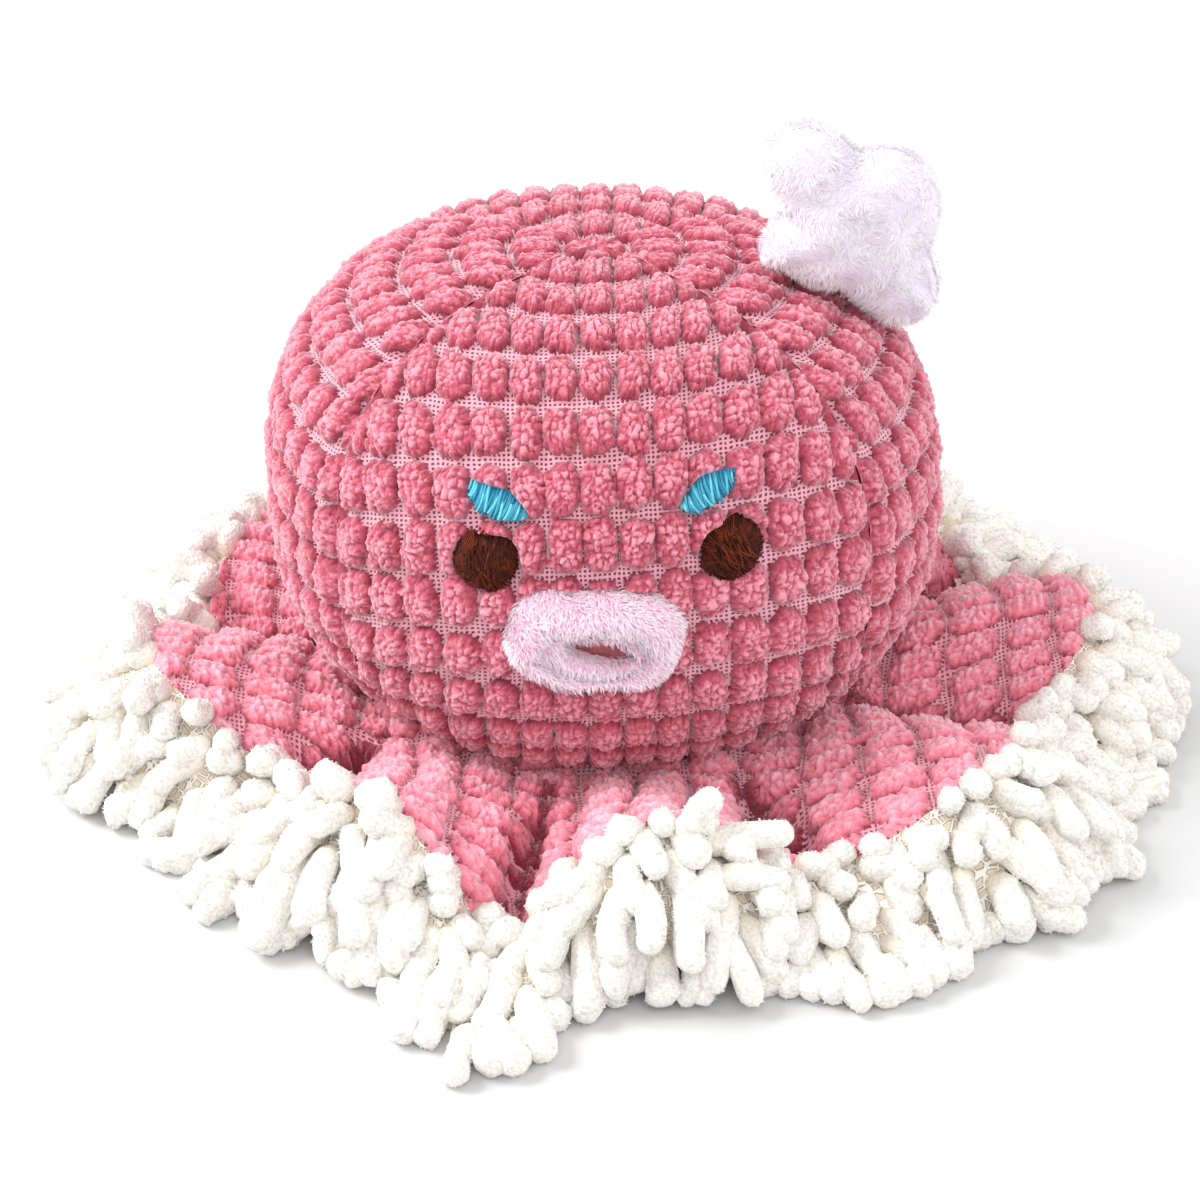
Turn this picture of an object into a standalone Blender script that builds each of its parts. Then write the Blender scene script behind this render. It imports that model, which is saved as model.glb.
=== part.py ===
"""Plush octopus toy: a stuffed four-gore head on a skirt of eight wavy arms with a
chenille fringe, an embroidered face, furry lips and a small stuffed tuft.

Metres, +Z up, the face towards -Y. The origin is the centre of the flat base,
on the surface that the toy rests on."""

import math

import bmesh
import bpy
from mathutils import Matrix, Vector

# Cloth and sewing
cloth_thickness = 0.003  # plush with its pile
clearance = 0.0003  # between pieces that touch
thread_diameter = 0.0008
stitch_thickness = 0.001  # satin stitch over the cloth
overrun = 0.02  # how far a cutting shape runs past what it cuts
merge_distance = 0.00001  # closer points are one
round_segments = 40  # of the base and of the hole in the skirt's yoke

# Head: a turned outline, fuller above its widest line than below it
head_radius = 0.083
head_upper_height = 0.0674
head_lower_height = 0.0579
head_top_fullness = 2.79  # exponent of the outline; 2 is an ellipse
head_bottom_fullness = 2.18
crown_gap = 0.0005  # the gores stop this far from the axis
base_radius = 0.048
upper_segments = 6
lower_segments = 4
filling_segments = 24
gores = (
    # name, first seam in degrees from +X, span in degrees, segments
    ("head_front_panel", 220, 100, 6),
    ("head_right_panel", 320, 80, 5),
    ("head_back_panel", 40, 100, 6),
    ("head_left_panel", 140, 80, 5),
)

# Skirt: a flat yoke sewn round the neck, then eight arms that hinge on its edge
yoke_height = 0.0135  # its upper side
yoke_width = 0.0068  # from the neck to the hinge line
hinge_gap = 0.0008
arm_length = 0.054  # from the hinge line to the fringe
ridge_height = 0.034
lift_limit = 25  # degrees that the arms rise
side_gap = 0.0006  # between two lifted arms
arm_across_segments = 6
arm_along_segments = 3
# Each arm: ridge angle in degrees from +X, then shares of arm_length and ridge_height
# at the ridge, and the same two at the valley on its clockwise side
arm_shares = (
    (354, 1.13, 0.97, 0.89, 0.53),
    (45, 0.78, 0.72, 0.78, 0.26),
    (97, 0.85, 0.76, 0.85, 0.20),
    (157, 0.81, 0.70, 0.89, 0.20),
    (197, 1.00, 1.00, 0.78, 0.35),
    (242, 0.85, 0.94, 0.65, 0.38),
    (275, 0.81, 1.00, 1.00, 0.15),
    (319, 1.07, 0.91, 0.91, 0.45),
)

# Fringe: a knitted tape that slopes from each arm's edge, with rows of chenille noodles
tape_width = 0.029
tape_slope = 50  # degrees, at its steepest
noodle_length = 0.0185
noodle_radius = 0.0034
noodle_root_depth = 0.0008  # of its root under the tape's upper side
noodle_spacing_angle = 4.7  # degrees from one noodle of a row to the next
noodle_row_leans = (15, 30, 45, 60)  # degrees from the tape's normal, top row first
noodle_thickness_shares = (0.33, 1.0, 0.75)  # at its root, past its root and at its tip
noodle_stagger_share = 0.25  # of their spacing, from one row to the next
noodle_bend_share = 0.4  # where along it the root has reached its full thickness

# Face, embroidered and sewn on the front gore
eye_diameter = 0.0145
eye_spacing = 0.055
eye_height = 0.0832
eye_sides = 16
brow_length = 0.0165
brow_width = 0.0078
brow_spacing = 0.0473
brow_rise = 0.0122  # of its middle over the eye's
brow_slant = 33  # degrees, inner ends low
brow_shares = ((-0.5, 0.1), (-0.25, 0.42), (0.2, 0.5), (0.5, -0.1), (0.25, -0.45), (-0.2, -0.5))
mouth_height = 0.0637
mouth_offset = -0.0029
lip_width = 0.0417
lip_height = 0.0305
lip_radius = 0.0045
lip_sink = 0.0015  # how far the lips press on the head
lip_corner_share = 0.45
mouth_share = 0.9  # of the space inside the lips

# Tuft: a small stuffed shape with five lobes, sewn to the head's upper right
tuft_radius = 0.0305
tuft_depth = 0.021
tuft_seat_reach = 0.0505  # from the head's axis to the middle of its seam
tuft_setback = -0.009
tuft_rise = 0.0165  # of its middle over its seam
tuft_lean = 0.008
tuft_cloth = 0.0015
tuft_slack = 0.0015  # between the tuft's cloth and its filling, for the dents between lobes
tuft_seam_length = 0.014
tuft_neck_share = 0.6  # of tuft_radius, between the lobes
tuft_rim_fullness = 0.8  # exponent of its section; 1 is a lens
tuft_round_segments = 30
tuft_side_segments = 6
tuft_lobe_width = 44  # degrees
# Each lobe: direction in degrees from +X and reach as a share of tuft_radius
tuft_lobe_shares = ((-47, 0.98), (40, 0.79), (126, 1.0), (196, 0.82), (244, 0.62))


def head_reach(height, grow=0):
    """Radius of the head's outline at a height, with the outline grown by a length."""
    above = height >= head_lower_height
    fullness = head_top_fullness if above else head_bottom_fullness
    half = (head_upper_height if above else head_lower_height) + grow
    share = min(abs(height - head_lower_height) / half, 1)
    return (head_radius + grow) * (1 - share**fullness) ** (1 / fullness)


def head_top(reach, grow=0):
    """Height of the head's upper side at a distance from its axis."""
    share = min(reach / (head_radius + grow), 1)
    rise = (1 - share**head_top_fullness) ** (1 / head_top_fullness)
    return head_lower_height + (head_upper_height + grow) * rise


def head_outline(grow=0, inner_end=crown_gap, foot=cloth_thickness + clearance):
    """Points from the crown down to the base, as (radius, height)."""
    radius = head_radius + grow
    points = []
    for step in range(upper_segments + 1):
        turn = math.pi / 2 * (1 - step / upper_segments)
        reach = radius * math.cos(turn) ** (2 / head_top_fullness)
        rise = (head_upper_height + grow) * math.sin(turn) ** (2 / head_top_fullness)
        points.append((max(reach, inner_end), head_lower_height + rise))
    foot_radius = base_radius + grow
    last_turn = math.acos((foot_radius / radius) ** (head_bottom_fullness / 2))
    for step in range(1, lower_segments + 1):
        turn = last_turn * step / lower_segments
        reach = radius * math.cos(turn) ** (2 / head_bottom_fullness)
        drop = (head_lower_height + grow) * math.sin(turn) ** (2 / head_bottom_fullness)
        points.append((reach, head_lower_height - drop))
    points.append((foot_radius, foot))
    return points


# Blender helpers


def clear_scene():
    for obj in list(bpy.data.objects):
        bpy.data.objects.remove(obj, do_unlink=True)


def collection_named(name):
    collection = bpy.data.collections.new(name)
    bpy.context.scene.collection.children.link(collection)
    return collection


def material_named(name, colour, roughness):
    material = bpy.data.materials.new(name)
    material.use_nodes = True
    shader = material.node_tree.nodes["Principled BSDF"]
    shader.inputs["Base Color"].default_value = (*colour, 1)
    shader.inputs["Roughness"].default_value = roughness
    shader.inputs["Metallic"].default_value = 0
    material.diffuse_color = (*colour, 1)
    return material


def object_of(name, mesh, material=None):
    """A part when it has a material, and otherwise a hidden cutter."""
    obj = bpy.data.objects.new(name, mesh)
    if material:
        parts.objects.link(obj)
        mesh.materials.clear()
        mesh.materials.append(material)
        return obj
    cutters.objects.link(obj)
    obj.hide_render = True
    obj.display_type = "WIRE"
    return obj


def boolean(obj, other, operation):
    modifier = obj.modifiers.new(operation.lower(), "BOOLEAN")
    modifier.operation = operation
    modifier.object = other
    modifier.solver = "EXACT"


def solidify(obj, thickness, offset):
    modifier = obj.modifiers.new("cloth", "SOLIDIFY")
    modifier.thickness = thickness
    modifier.offset = offset
    modifier.use_even_offset = True


def turned(name, outline, first_angle, span, steps, material=None):
    """A profile turned about Z. The outline runs down its outer side."""
    mesh = bpy.data.meshes.new(name)
    count = len(outline)
    mesh.from_pydata([(r, 0, z) for r, z in outline], [(i, i + 1) for i in range(count - 1)], [])
    obj = object_of(name, mesh, material)
    obj.rotation_euler.z = math.radians(first_angle)
    screw = obj.modifiers.new("turn", "SCREW")
    screw.axis = "Z"
    screw.angle = math.radians(span)
    screw.steps = steps
    screw.render_steps = steps
    screw.use_merge_vertices = span == 360
    screw.merge_threshold = merge_distance
    return obj


def mesh_of_curve(name, curve, material=None, place=None):
    """The curve's closed mesh, with its caps welded on, as an object of its own."""
    guide = bpy.data.objects.new(name + "_curve", curve)
    bpy.context.scene.collection.objects.link(guide)
    bpy.context.view_layer.update()
    graph = bpy.context.evaluated_depsgraph_get()
    mesh = bpy.data.meshes.new_from_object(guide.evaluated_get(graph))
    bpy.data.objects.remove(guide, do_unlink=True)
    work = bmesh.new()
    work.from_mesh(mesh)
    bmesh.ops.remove_doubles(work, verts=work.verts, dist=merge_distance)
    bmesh.ops.recalc_face_normals(work, faces=work.faces)
    work.to_mesh(mesh)
    work.free()
    obj = object_of(name, mesh, material)
    if place:
        obj.matrix_world = place
    return obj


def add_spline(curve, points, closed=False, shares=None):
    spline = curve.splines.new("POLY")
    spline.points.add(len(points) - 1)
    for index, point in enumerate(points):
        spline.points[index].co = (*point, 1)
        if shares:
            spline.points[index].radius = shares[index]
    spline.use_cyclic_u = closed


def prism(name, outlines, low, high, material=None, place=None):
    """Flat outlines filled and given height; an outline inside another is a hole."""
    curve = bpy.data.curves.new(name, "CURVE")
    curve.dimensions = "2D"
    curve.fill_mode = "BOTH"
    curve.extrude = (high - low) / 2
    for outline in outlines:
        add_spline(curve, [(x, y, 0) for x, y in outline], closed=True)
    middle = Matrix.Translation((0, 0, (low + high) / 2))
    return mesh_of_curve(name, curve, material, place @ middle if place else middle)


def tube_curve(name, radius, resolution):
    curve = bpy.data.curves.new(name, "CURVE")
    curve.dimensions = "3D"
    curve.bevel_depth = radius
    curve.bevel_resolution = resolution
    curve.use_fill_caps = True
    curve.twist_mode = "Z_UP"
    return curve


def ring_points(radius, sides):
    """Corners of a polygon whose sides, not corners, lie at the radius."""
    corner = radius / math.cos(math.pi / sides)
    turns = [2 * math.pi * (step + 0.5) / sides for step in range(sides)]
    return [(corner * math.cos(turn), corner * math.sin(turn)) for turn in turns]


def smooth(obj, angle=40):
    obj.data.shade_smooth()
    obj.data.set_sharp_from_angle(angle=math.radians(angle))


# Head


def seam_wedge(name, first_angle, span):
    """The space of one gore between its two seams, half a clearance inside each."""
    half = math.radians(span / 2)
    middle = math.radians(first_angle + span / 2)
    start = clearance / 2 / math.sin(half)
    far = head_radius + overrun
    outline = [(start, 0)]
    for side in (-1, 0, 1):
        outline.append((start + far * math.cos(half * side), far * math.sin(half * side)))
    top = head_lower_height + head_upper_height + overrun
    turn = Matrix.Rotation(middle, 4, "Z")
    return prism(name, [outline], -overrun, top, place=turn)


def build_head():
    pink = material_named("pink_plush", (0.62, 0.16, 0.22), 0.95)
    for name, first_angle, span, segments in gores:
        gore = turned(name, head_outline(), first_angle, span, segments, pink)
        solidify(gore, cloth_thickness, -1)
        boolean(gore, seam_wedge(name + "_wedge", first_angle, span), "INTERSECT")
        smooth(gore)

    facet_depth = head_radius * (1 - math.cos(math.pi / filling_segments))
    inset = cloth_thickness + clearance + facet_depth
    outline = head_outline(-inset, 0)
    outline.append((0, outline[-1][1]))
    fibre = material_named("white_fibre", (0.85, 0.85, 0.85), 1)
    smooth(turned("head_filling", outline, 0, 360, filling_segments, fibre))

    bpy.ops.mesh.primitive_cylinder_add(
        vertices=round_segments,
        radius=base_radius,
        depth=cloth_thickness,
        location=(0, 0, cloth_thickness / 2),
    )
    base = bpy.context.object
    base.name = "base_panel"
    for collection in list(base.users_collection):
        collection.objects.unlink(base)
    parts.objects.link(base)
    base.data.materials.append(pink)


# Skirt


def hinge_reach():
    return head_reach(yoke_height) + clearance + yoke_width


def arm_values(index):
    """Angles, reaches and heights of one arm and of the valleys on its two sides."""
    angle, reach, height, low_reach, low_height = arm_shares[index]
    before = arm_shares[index - 1]
    after = arm_shares[(index + 1) % len(arm_shares)]
    return {
        "angle": angle,
        "halves": ((angle - before[0]) % 360 / 2, (after[0] - angle) % 360 / 2),
        "reach": arm_length * reach,
        "height": ridge_height * height,
        "valley_reaches": (arm_length * low_reach, arm_length * after[3]),
        "valley_heights": (ridge_height * low_height, ridge_height * after[4]),
    }


def side_clearance(half, reach, height):
    """Room that an arm's side needs so that its lifted neighbour clears it."""
    lift = math.radians(lift_limit)
    out = max(reach * math.cos(half) - hinge_reach(), 0)
    up = max(height - yoke_height, 0)
    moved = out * (1 - math.cos(lift)) + up * math.sin(lift)
    return moved * math.sin(half) + side_gap


def placed(arm, across, reach, height, extra=0):
    """A point in the arm's own frame, from its share of the way to a side and its reach."""
    half = math.radians(arm["halves"][across > 0])
    turn = across * (half - (side_clearance(half, reach, height) + extra) / reach)
    return (reach * math.cos(turn) - hinge_reach(), reach * math.sin(turn), height - yoke_height)


def edge_values(arm, across):
    """Reach and height of the plush edge, where the fringe starts."""
    side = across > 0
    share = (1 + math.cos(math.pi * across)) / 2
    low_reach = arm["valley_reaches"][side]
    low_height = arm["valley_heights"][side]
    reach = hinge_reach() + low_reach + (arm["reach"] - low_reach) * share
    return reach, low_height + (arm["height"] - low_height) * share


def arm_point(arm, across, along):
    """The arm's upper side: straight on the hinge line, wavy at its edge."""
    reach, height = edge_values(arm, across)
    outer = Vector(placed(arm, across, reach, height))
    half = math.radians(arm["halves"][across > 0])
    corner = (hinge_reach() + hinge_gap) * math.tan(half)
    inner = Vector((hinge_gap, across * (corner - side_gap), 0))
    return inner.lerp(outer, along)


def tape_values(arm, across, down):
    """Reach and height on the tape's upper side, from the plush edge to its hem."""
    reach, height = edge_values(arm, across)
    floor = cloth_thickness + clearance
    drop = min(max(height - floor, 0), tape_width * math.sin(math.radians(tape_slope)))
    run = math.sqrt(tape_width**2 - drop**2)
    return reach + clearance + run * down, height - drop * down


def tape_point(arm, across, down):
    return Vector(placed(arm, across, *tape_values(arm, across, down)))


def sheet(name, across_segments, along_segments, point_at, place, material):
    """A wavy piece of cloth: a grid laid over its upper side and extruded down."""
    work = bmesh.new()
    bmesh.ops.create_grid(
        work, x_segments=along_segments, y_segments=across_segments, size=1
    )
    for vert in work.verts:
        vert.co = point_at(vert.co.y, (vert.co.x + 1) / 2)
    upper = work.faces[:]
    made = bmesh.ops.extrude_face_region(work, geom=upper, use_keep_orig=True)
    lower = [item for item in made["geom"] if isinstance(item, bmesh.types.BMVert)]
    bmesh.ops.translate(work, verts=lower, vec=(0, 0, -cloth_thickness))
    bmesh.ops.recalc_face_normals(work, faces=work.faces)
    bmesh.ops.triangulate(work, faces=work.faces)
    mesh = bpy.data.meshes.new(name)
    work.to_mesh(mesh)
    work.free()
    obj = object_of(name, mesh, material)
    obj.matrix_world = place
    smooth(obj)
    return obj


def triangle_section(radius):
    """A three-sided outline for the noodles."""
    curve = bpy.data.curves.new("noodle_section", "CURVE")
    curve.dimensions = "2D"
    turns = [math.pi / 2 + 2 * math.pi * side / 3 for side in range(3)]
    add_spline(curve, [(radius * math.cos(t), radius * math.sin(t), 0) for t in turns], closed=True)
    guide = bpy.data.objects.new("noodle_section", curve)
    cutters.objects.link(guide)
    guide.hide_render = True
    guide.display_type = "WIRE"
    return guide


def noodle_ends(arm, tape, across, row):
    """Root and tip of one noodle, clear of the floor and of the next arm's noodles."""
    rows = len(noodle_row_leans)
    down = (row + 0.5) / rows
    half = math.radians(arm["halves"][across > 0])
    reach, height = tape_values(arm, across, down)
    inside = across * (1 - noodle_radius / (reach * half))
    _, root, normal, _ = tape.closest_point_on_mesh(tape_point(arm, inside, down))
    root -= normal * noodle_root_depth
    top_reach, top_height = tape_values(arm, across, 0)
    end_reach, end_height = tape_values(arm, across, 1)
    slope = math.atan2(top_height - end_height, end_reach - top_reach)
    rise = math.pi / 2 - slope - math.radians(noodle_row_leans[row])
    tip_reach = reach + noodle_length * math.cos(rise)
    tip_height = max(height + noodle_length * math.sin(rise), noodle_radius + clearance)
    tip = Vector(placed(arm, across, tip_reach, tip_height, noodle_radius))
    return root, tip


def build_fringe(name, arm, place, section, material):
    fringe = sheet(
        name, arm_across_segments, 1, lambda a, d: tape_point(arm, a, d), place, material
    )
    bpy.context.view_layer.update()
    curve = tube_curve(name + "_noodles", noodle_radius, 0)
    curve.bevel_mode = "OBJECT"
    curve.bevel_object = section
    count = round(sum(arm["halves"]) / noodle_spacing_angle)
    for row in range(len(noodle_row_leans)):
        stagger = noodle_stagger_share * (1 if row % 2 else -1)
        for step in range(count):
            across = 2 * (step + 0.5 + stagger) / count - 1
            root, tip = noodle_ends(arm, fringe, across, row)
            bend = root.lerp(tip, noodle_bend_share)
            add_spline(curve, (root, bend, tip), shares=noodle_thickness_shares)
    noodles = mesh_of_curve(name + "_noodles", curve, place=place)
    boolean(fringe, noodles, "UNION")


def build_skirt():
    pink = material_named("skirt_plush", (0.60, 0.15, 0.21), 0.95)
    white = material_named("white_chenille", (0.92, 0.90, 0.86), 0.95)
    section = triangle_section(noodle_radius)
    corners = []
    for index in range(len(arm_shares)):
        arm = arm_values(index)
        turn = math.radians(arm["angle"])
        half = math.radians(arm["halves"][1])
        corner = hinge_reach() / math.cos(half)
        corners.append((corner * math.cos(turn + half), corner * math.sin(turn + half)))
        hinge = (hinge_reach() * math.cos(turn), hinge_reach() * math.sin(turn), yoke_height)
        place = Matrix.Translation(hinge) @ Matrix.Rotation(turn, 4, "Z")
        sheet(
            f"arm_{index + 1}",
            arm_across_segments,
            arm_along_segments,
            lambda a, b, arm=arm: arm_point(arm, a, b),
            place,
            pink,
        )
        build_fringe(f"fringe_{index + 1}", arm, place, section, white)
    neck = ring_points(head_reach(yoke_height) + clearance, round_segments)
    prism("skirt_yoke", [corners, neck], yoke_height - cloth_thickness, yoke_height, pink)


# Face


def face_shell(name, material):
    """A layer of stitches over the front gore, with the gore's own facets."""
    _, first_angle, span, segments = gores[0]
    shell = turned(name, head_outline(clearance), first_angle, span, segments, material)
    solidify(shell, stitch_thickness, 1)
    return shell


def face_patch(name, outline, centre_x, centre_z, material):
    """The part of that layer inside an outline seen from the front."""
    patch = face_shell(name, material)
    facing = Matrix.Translation((centre_x, 0, centre_z)) @ Matrix.Rotation(math.pi / 2, 4, "X")
    far = head_radius + overrun
    boolean(patch, prism(name + "_outline", [outline], 0, far, place=facing), "INTERSECT")


def rounded_box(width, height, corner, corner_steps):
    """Corners of a rectangle with rounded ends, from its centre."""
    points = []
    for quarter, (side, level) in enumerate(((1, 1), (-1, 1), (-1, -1), (1, -1))):
        for step in range(corner_steps + 1):
            turn = math.pi / 2 * (quarter + step / corner_steps)
            x = side * (width / 2 - corner) + corner * math.cos(turn)
            z = level * (height / 2 - corner) + corner * math.sin(turn)
            points.append((x, z))
    return points


def build_face():
    brown = material_named("brown_thread", (0.05, 0.018, 0.01), 0.6)
    blue = material_named("turquoise_thread", (0.02, 0.42, 0.55), 0.5)
    rose = material_named("rose_felt", (0.42, 0.14, 0.18), 0.9)
    fur = material_named("lip_fur", (0.90, 0.74, 0.82), 0.95)
    eye = ring_points(eye_diameter / 2, eye_sides)
    for name, side in (("left", -1), ("right", 1)):
        face_patch(name + "_eye", eye, side * eye_spacing / 2, eye_height, brown)
        slant = math.radians(brow_slant) * side
        brow = []
        for along, over in brow_shares[::side]:
            x = side * -along * brow_length
            z = over * brow_width
            brow.append(
                (
                    x * math.cos(slant) - z * math.sin(slant),
                    x * math.sin(slant) + z * math.cos(slant),
                )
            )
        face_patch(name + "_brow", brow, side * brow_spacing / 2, eye_height + brow_rise, blue)

    inner_width = lip_width - 4 * lip_radius
    inner_height = lip_height - 4 * lip_radius
    corner = lip_corner_share * inner_height
    mouth = rounded_box(inner_width * mouth_share, inner_height * mouth_share, corner, 3)
    face_patch("mouth_patch", mouth, mouth_offset, mouth_height, rose)

    path_width = lip_width - 2 * lip_radius
    path_height = lip_height - 2 * lip_radius
    curve = tube_curve("lip_path", lip_radius, 2)
    curve.use_fill_caps = False
    curve.twist_mode = "MINIMUM"
    front = -(head_reach(mouth_height) + lip_radius - lip_sink)
    path = rounded_box(path_width, path_height, lip_corner_share * path_height, 4)
    points = [(mouth_offset + x, front, mouth_height + z) for x, z in path]
    add_spline(curve, points, closed=True)
    lips = mesh_of_curve("lip_ring", curve, fur)
    _, first_angle, span, segments = gores[0]
    outline = head_outline(clearance)
    seat = turned("lip_seat", outline, first_angle, span, segments)
    solidify(seat, 2 * lip_radius, -1)
    boolean(lips, seat, "DIFFERENCE")
    smooth(lips)


# Tuft


def tuft_seat():
    """Middle of the tuft's seam on the head, and the head's slope there along X."""
    reach = math.hypot(tuft_seat_reach, tuft_setback)
    half = tuft_seam_length / 2
    fall = (head_top(reach + half) - head_top(reach - half)) / tuft_seam_length
    slope = fall * tuft_seat_reach / reach
    return Vector((tuft_seat_reach, tuft_setback, head_top(reach))), slope


def tuft_reach(turn):
    """How far the tuft's outline lies from its middle in one direction."""
    bulge = 0
    for direction, share in tuft_lobe_shares:
        away = math.degrees(turn) - direction
        away = abs((away + 180) % 360 - 180)
        if away < tuft_lobe_width:
            hill = math.cos(math.pi / 2 * away / tuft_lobe_width)
            bulge = max(bulge, (share - tuft_neck_share) * hill)
    reach = tuft_radius * (tuft_neck_share + bulge)
    seat, _ = tuft_seat()
    room = 2 * clearance + thread_diameter
    trials = 60
    for trial in range(trials + 1):
        there = reach * trial / trials
        x = seat.x + tuft_lean + there * math.cos(turn)
        z = seat.z + tuft_rise + there * math.sin(turn)
        out = math.hypot(x, tuft_setback)
        if out < head_radius + room and z < head_top(out, room):
            return reach * (trial - 1) / trials
    return reach


def pillow(name, inset, half_of, material):
    """The tuft's lobed cushion, whole when half_of is 0, or its half on one side of its seam."""
    seat, _ = tuft_seat()
    work = bmesh.new()
    bmesh.ops.create_uvsphere(
        work, u_segments=tuft_round_segments, v_segments=tuft_side_segments, radius=1
    )
    if half_of:
        gone = [vert for vert in work.verts if vert.co.z * half_of < -merge_distance]
        bmesh.ops.delete(work, geom=gone, context="VERTS")
    for vert in work.verts:
        out = math.hypot(vert.co.x, vert.co.y)
        turn = math.atan2(vert.co.y, vert.co.x)
        reach = (tuft_reach(turn) - inset) * out**tuft_rim_fullness
        thick = (tuft_depth / 2 - inset) * vert.co.z
        if half_of:
            thick += half_of * clearance / 2
        x = tuft_lean + reach * math.cos(turn)
        vert.co = (x, thick, tuft_rise + reach * math.sin(turn))
    # Standing the sphere up swapped two axes, which turned its faces inwards
    bmesh.ops.reverse_faces(work, faces=work.faces)
    mesh = bpy.data.meshes.new(name)
    work.to_mesh(mesh)
    work.free()
    obj = object_of(name, mesh, material)
    obj.location = seat
    if half_of:
        solidify(obj, tuft_cloth, -1)
        far = tuft_radius + overrun
        box = [(-far, -far), (far, -far), (far, far), (-far, far)]
        turn = Matrix.Rotation(-half_of * math.pi / 2, 4, "X")
        place = Matrix.Translation(seat) @ turn
        side = prism(name + "_side", [box], clearance / 2, tuft_depth, place=place)
        boolean(obj, side, "INTERSECT")
    smooth(obj)
    return obj


def build_tuft():
    fur = material_named("tuft_fur", (0.87, 0.80, 0.90), 0.95)
    fibre = material_named("tuft_fibre", (0.85, 0.85, 0.85), 1)
    pillow("tuft_front_panel", 0, -1, fur)
    pillow("tuft_back_panel", 0, 1, fur)
    pillow("tuft_filling", tuft_cloth + tuft_slack, 0, fibre)

    thread = material_named("tuft_thread", (0.87, 0.80, 0.90), 0.7)
    seat, _ = tuft_seat()
    curve = tube_curve("tuft_stitching", thread_diameter / 2, 1)
    points = []
    steps = 6
    for step in range(steps + 1):
        x = seat.x + tuft_seam_length * (step / steps - 0.5)
        raised = clearance + thread_diameter / 2
        points.append((x, seat.y, head_top(math.hypot(x, seat.y), raised)))
    add_spline(curve, points)
    smooth(mesh_of_curve("tuft_stitching", curve, thread))


clear_scene()
parts = collection_named("plush_octopus")
cutters = collection_named("cutters")
build_head()
build_skirt()
build_face()
build_tuft()
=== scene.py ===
import math

import bpy
import numpy as np
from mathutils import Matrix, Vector


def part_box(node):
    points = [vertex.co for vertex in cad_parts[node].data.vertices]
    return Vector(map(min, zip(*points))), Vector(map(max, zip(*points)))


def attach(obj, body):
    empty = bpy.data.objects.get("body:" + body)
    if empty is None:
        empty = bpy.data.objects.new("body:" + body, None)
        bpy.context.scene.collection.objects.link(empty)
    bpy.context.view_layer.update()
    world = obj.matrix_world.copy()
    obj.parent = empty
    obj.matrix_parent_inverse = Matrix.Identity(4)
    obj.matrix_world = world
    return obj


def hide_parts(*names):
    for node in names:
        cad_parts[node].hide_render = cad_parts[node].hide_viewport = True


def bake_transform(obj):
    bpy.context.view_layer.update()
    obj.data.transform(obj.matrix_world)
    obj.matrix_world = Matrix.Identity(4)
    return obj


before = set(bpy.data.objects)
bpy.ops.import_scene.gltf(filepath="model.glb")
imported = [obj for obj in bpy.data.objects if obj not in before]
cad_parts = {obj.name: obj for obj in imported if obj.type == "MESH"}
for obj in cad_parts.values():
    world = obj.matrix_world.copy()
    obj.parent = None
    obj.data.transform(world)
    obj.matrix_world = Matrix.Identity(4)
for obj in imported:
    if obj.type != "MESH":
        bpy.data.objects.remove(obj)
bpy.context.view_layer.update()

degrees = math.pi / 180
mm = 0.001
lowestPoint = 0.0003  # no cloth or noodle goes into the floor


# Small tools for objects and meshes

def pickOnly(obj):
    bpy.ops.object.select_all(action="DESELECT")
    obj.select_set(True)
    bpy.context.view_layer.objects.active = obj


def named(name):
    obj = bpy.context.object
    obj.name = name
    obj.data.name = name
    return obj


def readArray(items, key, width, kind=float):
    values = np.empty(len(items) * width, kind)
    items.foreach_get(key, values)
    return values.reshape(-1, width)


def readPoints(obj):
    return readArray(obj.data.vertices, "co", 3)


def writePoints(obj, points):
    obj.data.vertices.foreach_set("co", np.ascontiguousarray(points, np.float32).ravel())
    obj.data.update()


def addGrid(name, across, along):
    # a square from -1 to 1 to be laid over a piece's shape, and each point's place on it
    bpy.ops.object.select_all(action="DESELECT")
    bpy.ops.mesh.primitive_grid_add(x_subdivisions=across, y_subdivisions=along, size=2)
    grid = named(name)
    place = readPoints(grid)
    return grid, place[:, 0], place[:, 1]


def startEdit(obj):
    pickOnly(obj)
    bpy.ops.object.mode_set(mode="EDIT")
    bpy.ops.mesh.select_all(action="SELECT")


def endEdit():
    bpy.ops.object.mode_set(mode="OBJECT")


def tidyMesh(obj, gap=0.0):
    # doubles merged, faces turned outwards
    startEdit(obj)
    if gap:
        bpy.ops.mesh.remove_doubles(threshold=gap)
    bpy.ops.mesh.normals_make_consistent(inside=False)
    endEdit()


def thicken(obj, thickness, offset):
    solid = obj.modifiers.new("thickness", "SOLIDIFY")
    solid.thickness = thickness
    solid.offset = offset
    pickOnly(obj)
    bpy.ops.object.modifier_apply(modifier=solid.name)


def joinAll(name, pieces):
    bpy.ops.object.select_all(action="DESELECT")
    for piece in pieces:
        piece.select_set(True)
    bpy.context.view_layer.objects.active = pieces[0]
    bpy.ops.object.join()
    return named(name)


def inOrder(obj):
    # a ball comes with its vertices and faces in another order on each run, so both are sorted
    mesh = obj.data
    points = np.round(readPoints(obj), 5) + 0.0
    order = np.lexsort(points.T)
    rank = np.argsort(order)
    faces = []
    for polygon in mesh.polygons:
        corners = rank[list(polygon.vertices)].tolist()
        first = corners.index(min(corners))
        faces.append(corners[first:] + corners[:first])
    mesh.clear_geometry()
    mesh.from_pydata(points[order].tolist(), [], sorted(faces))


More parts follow.
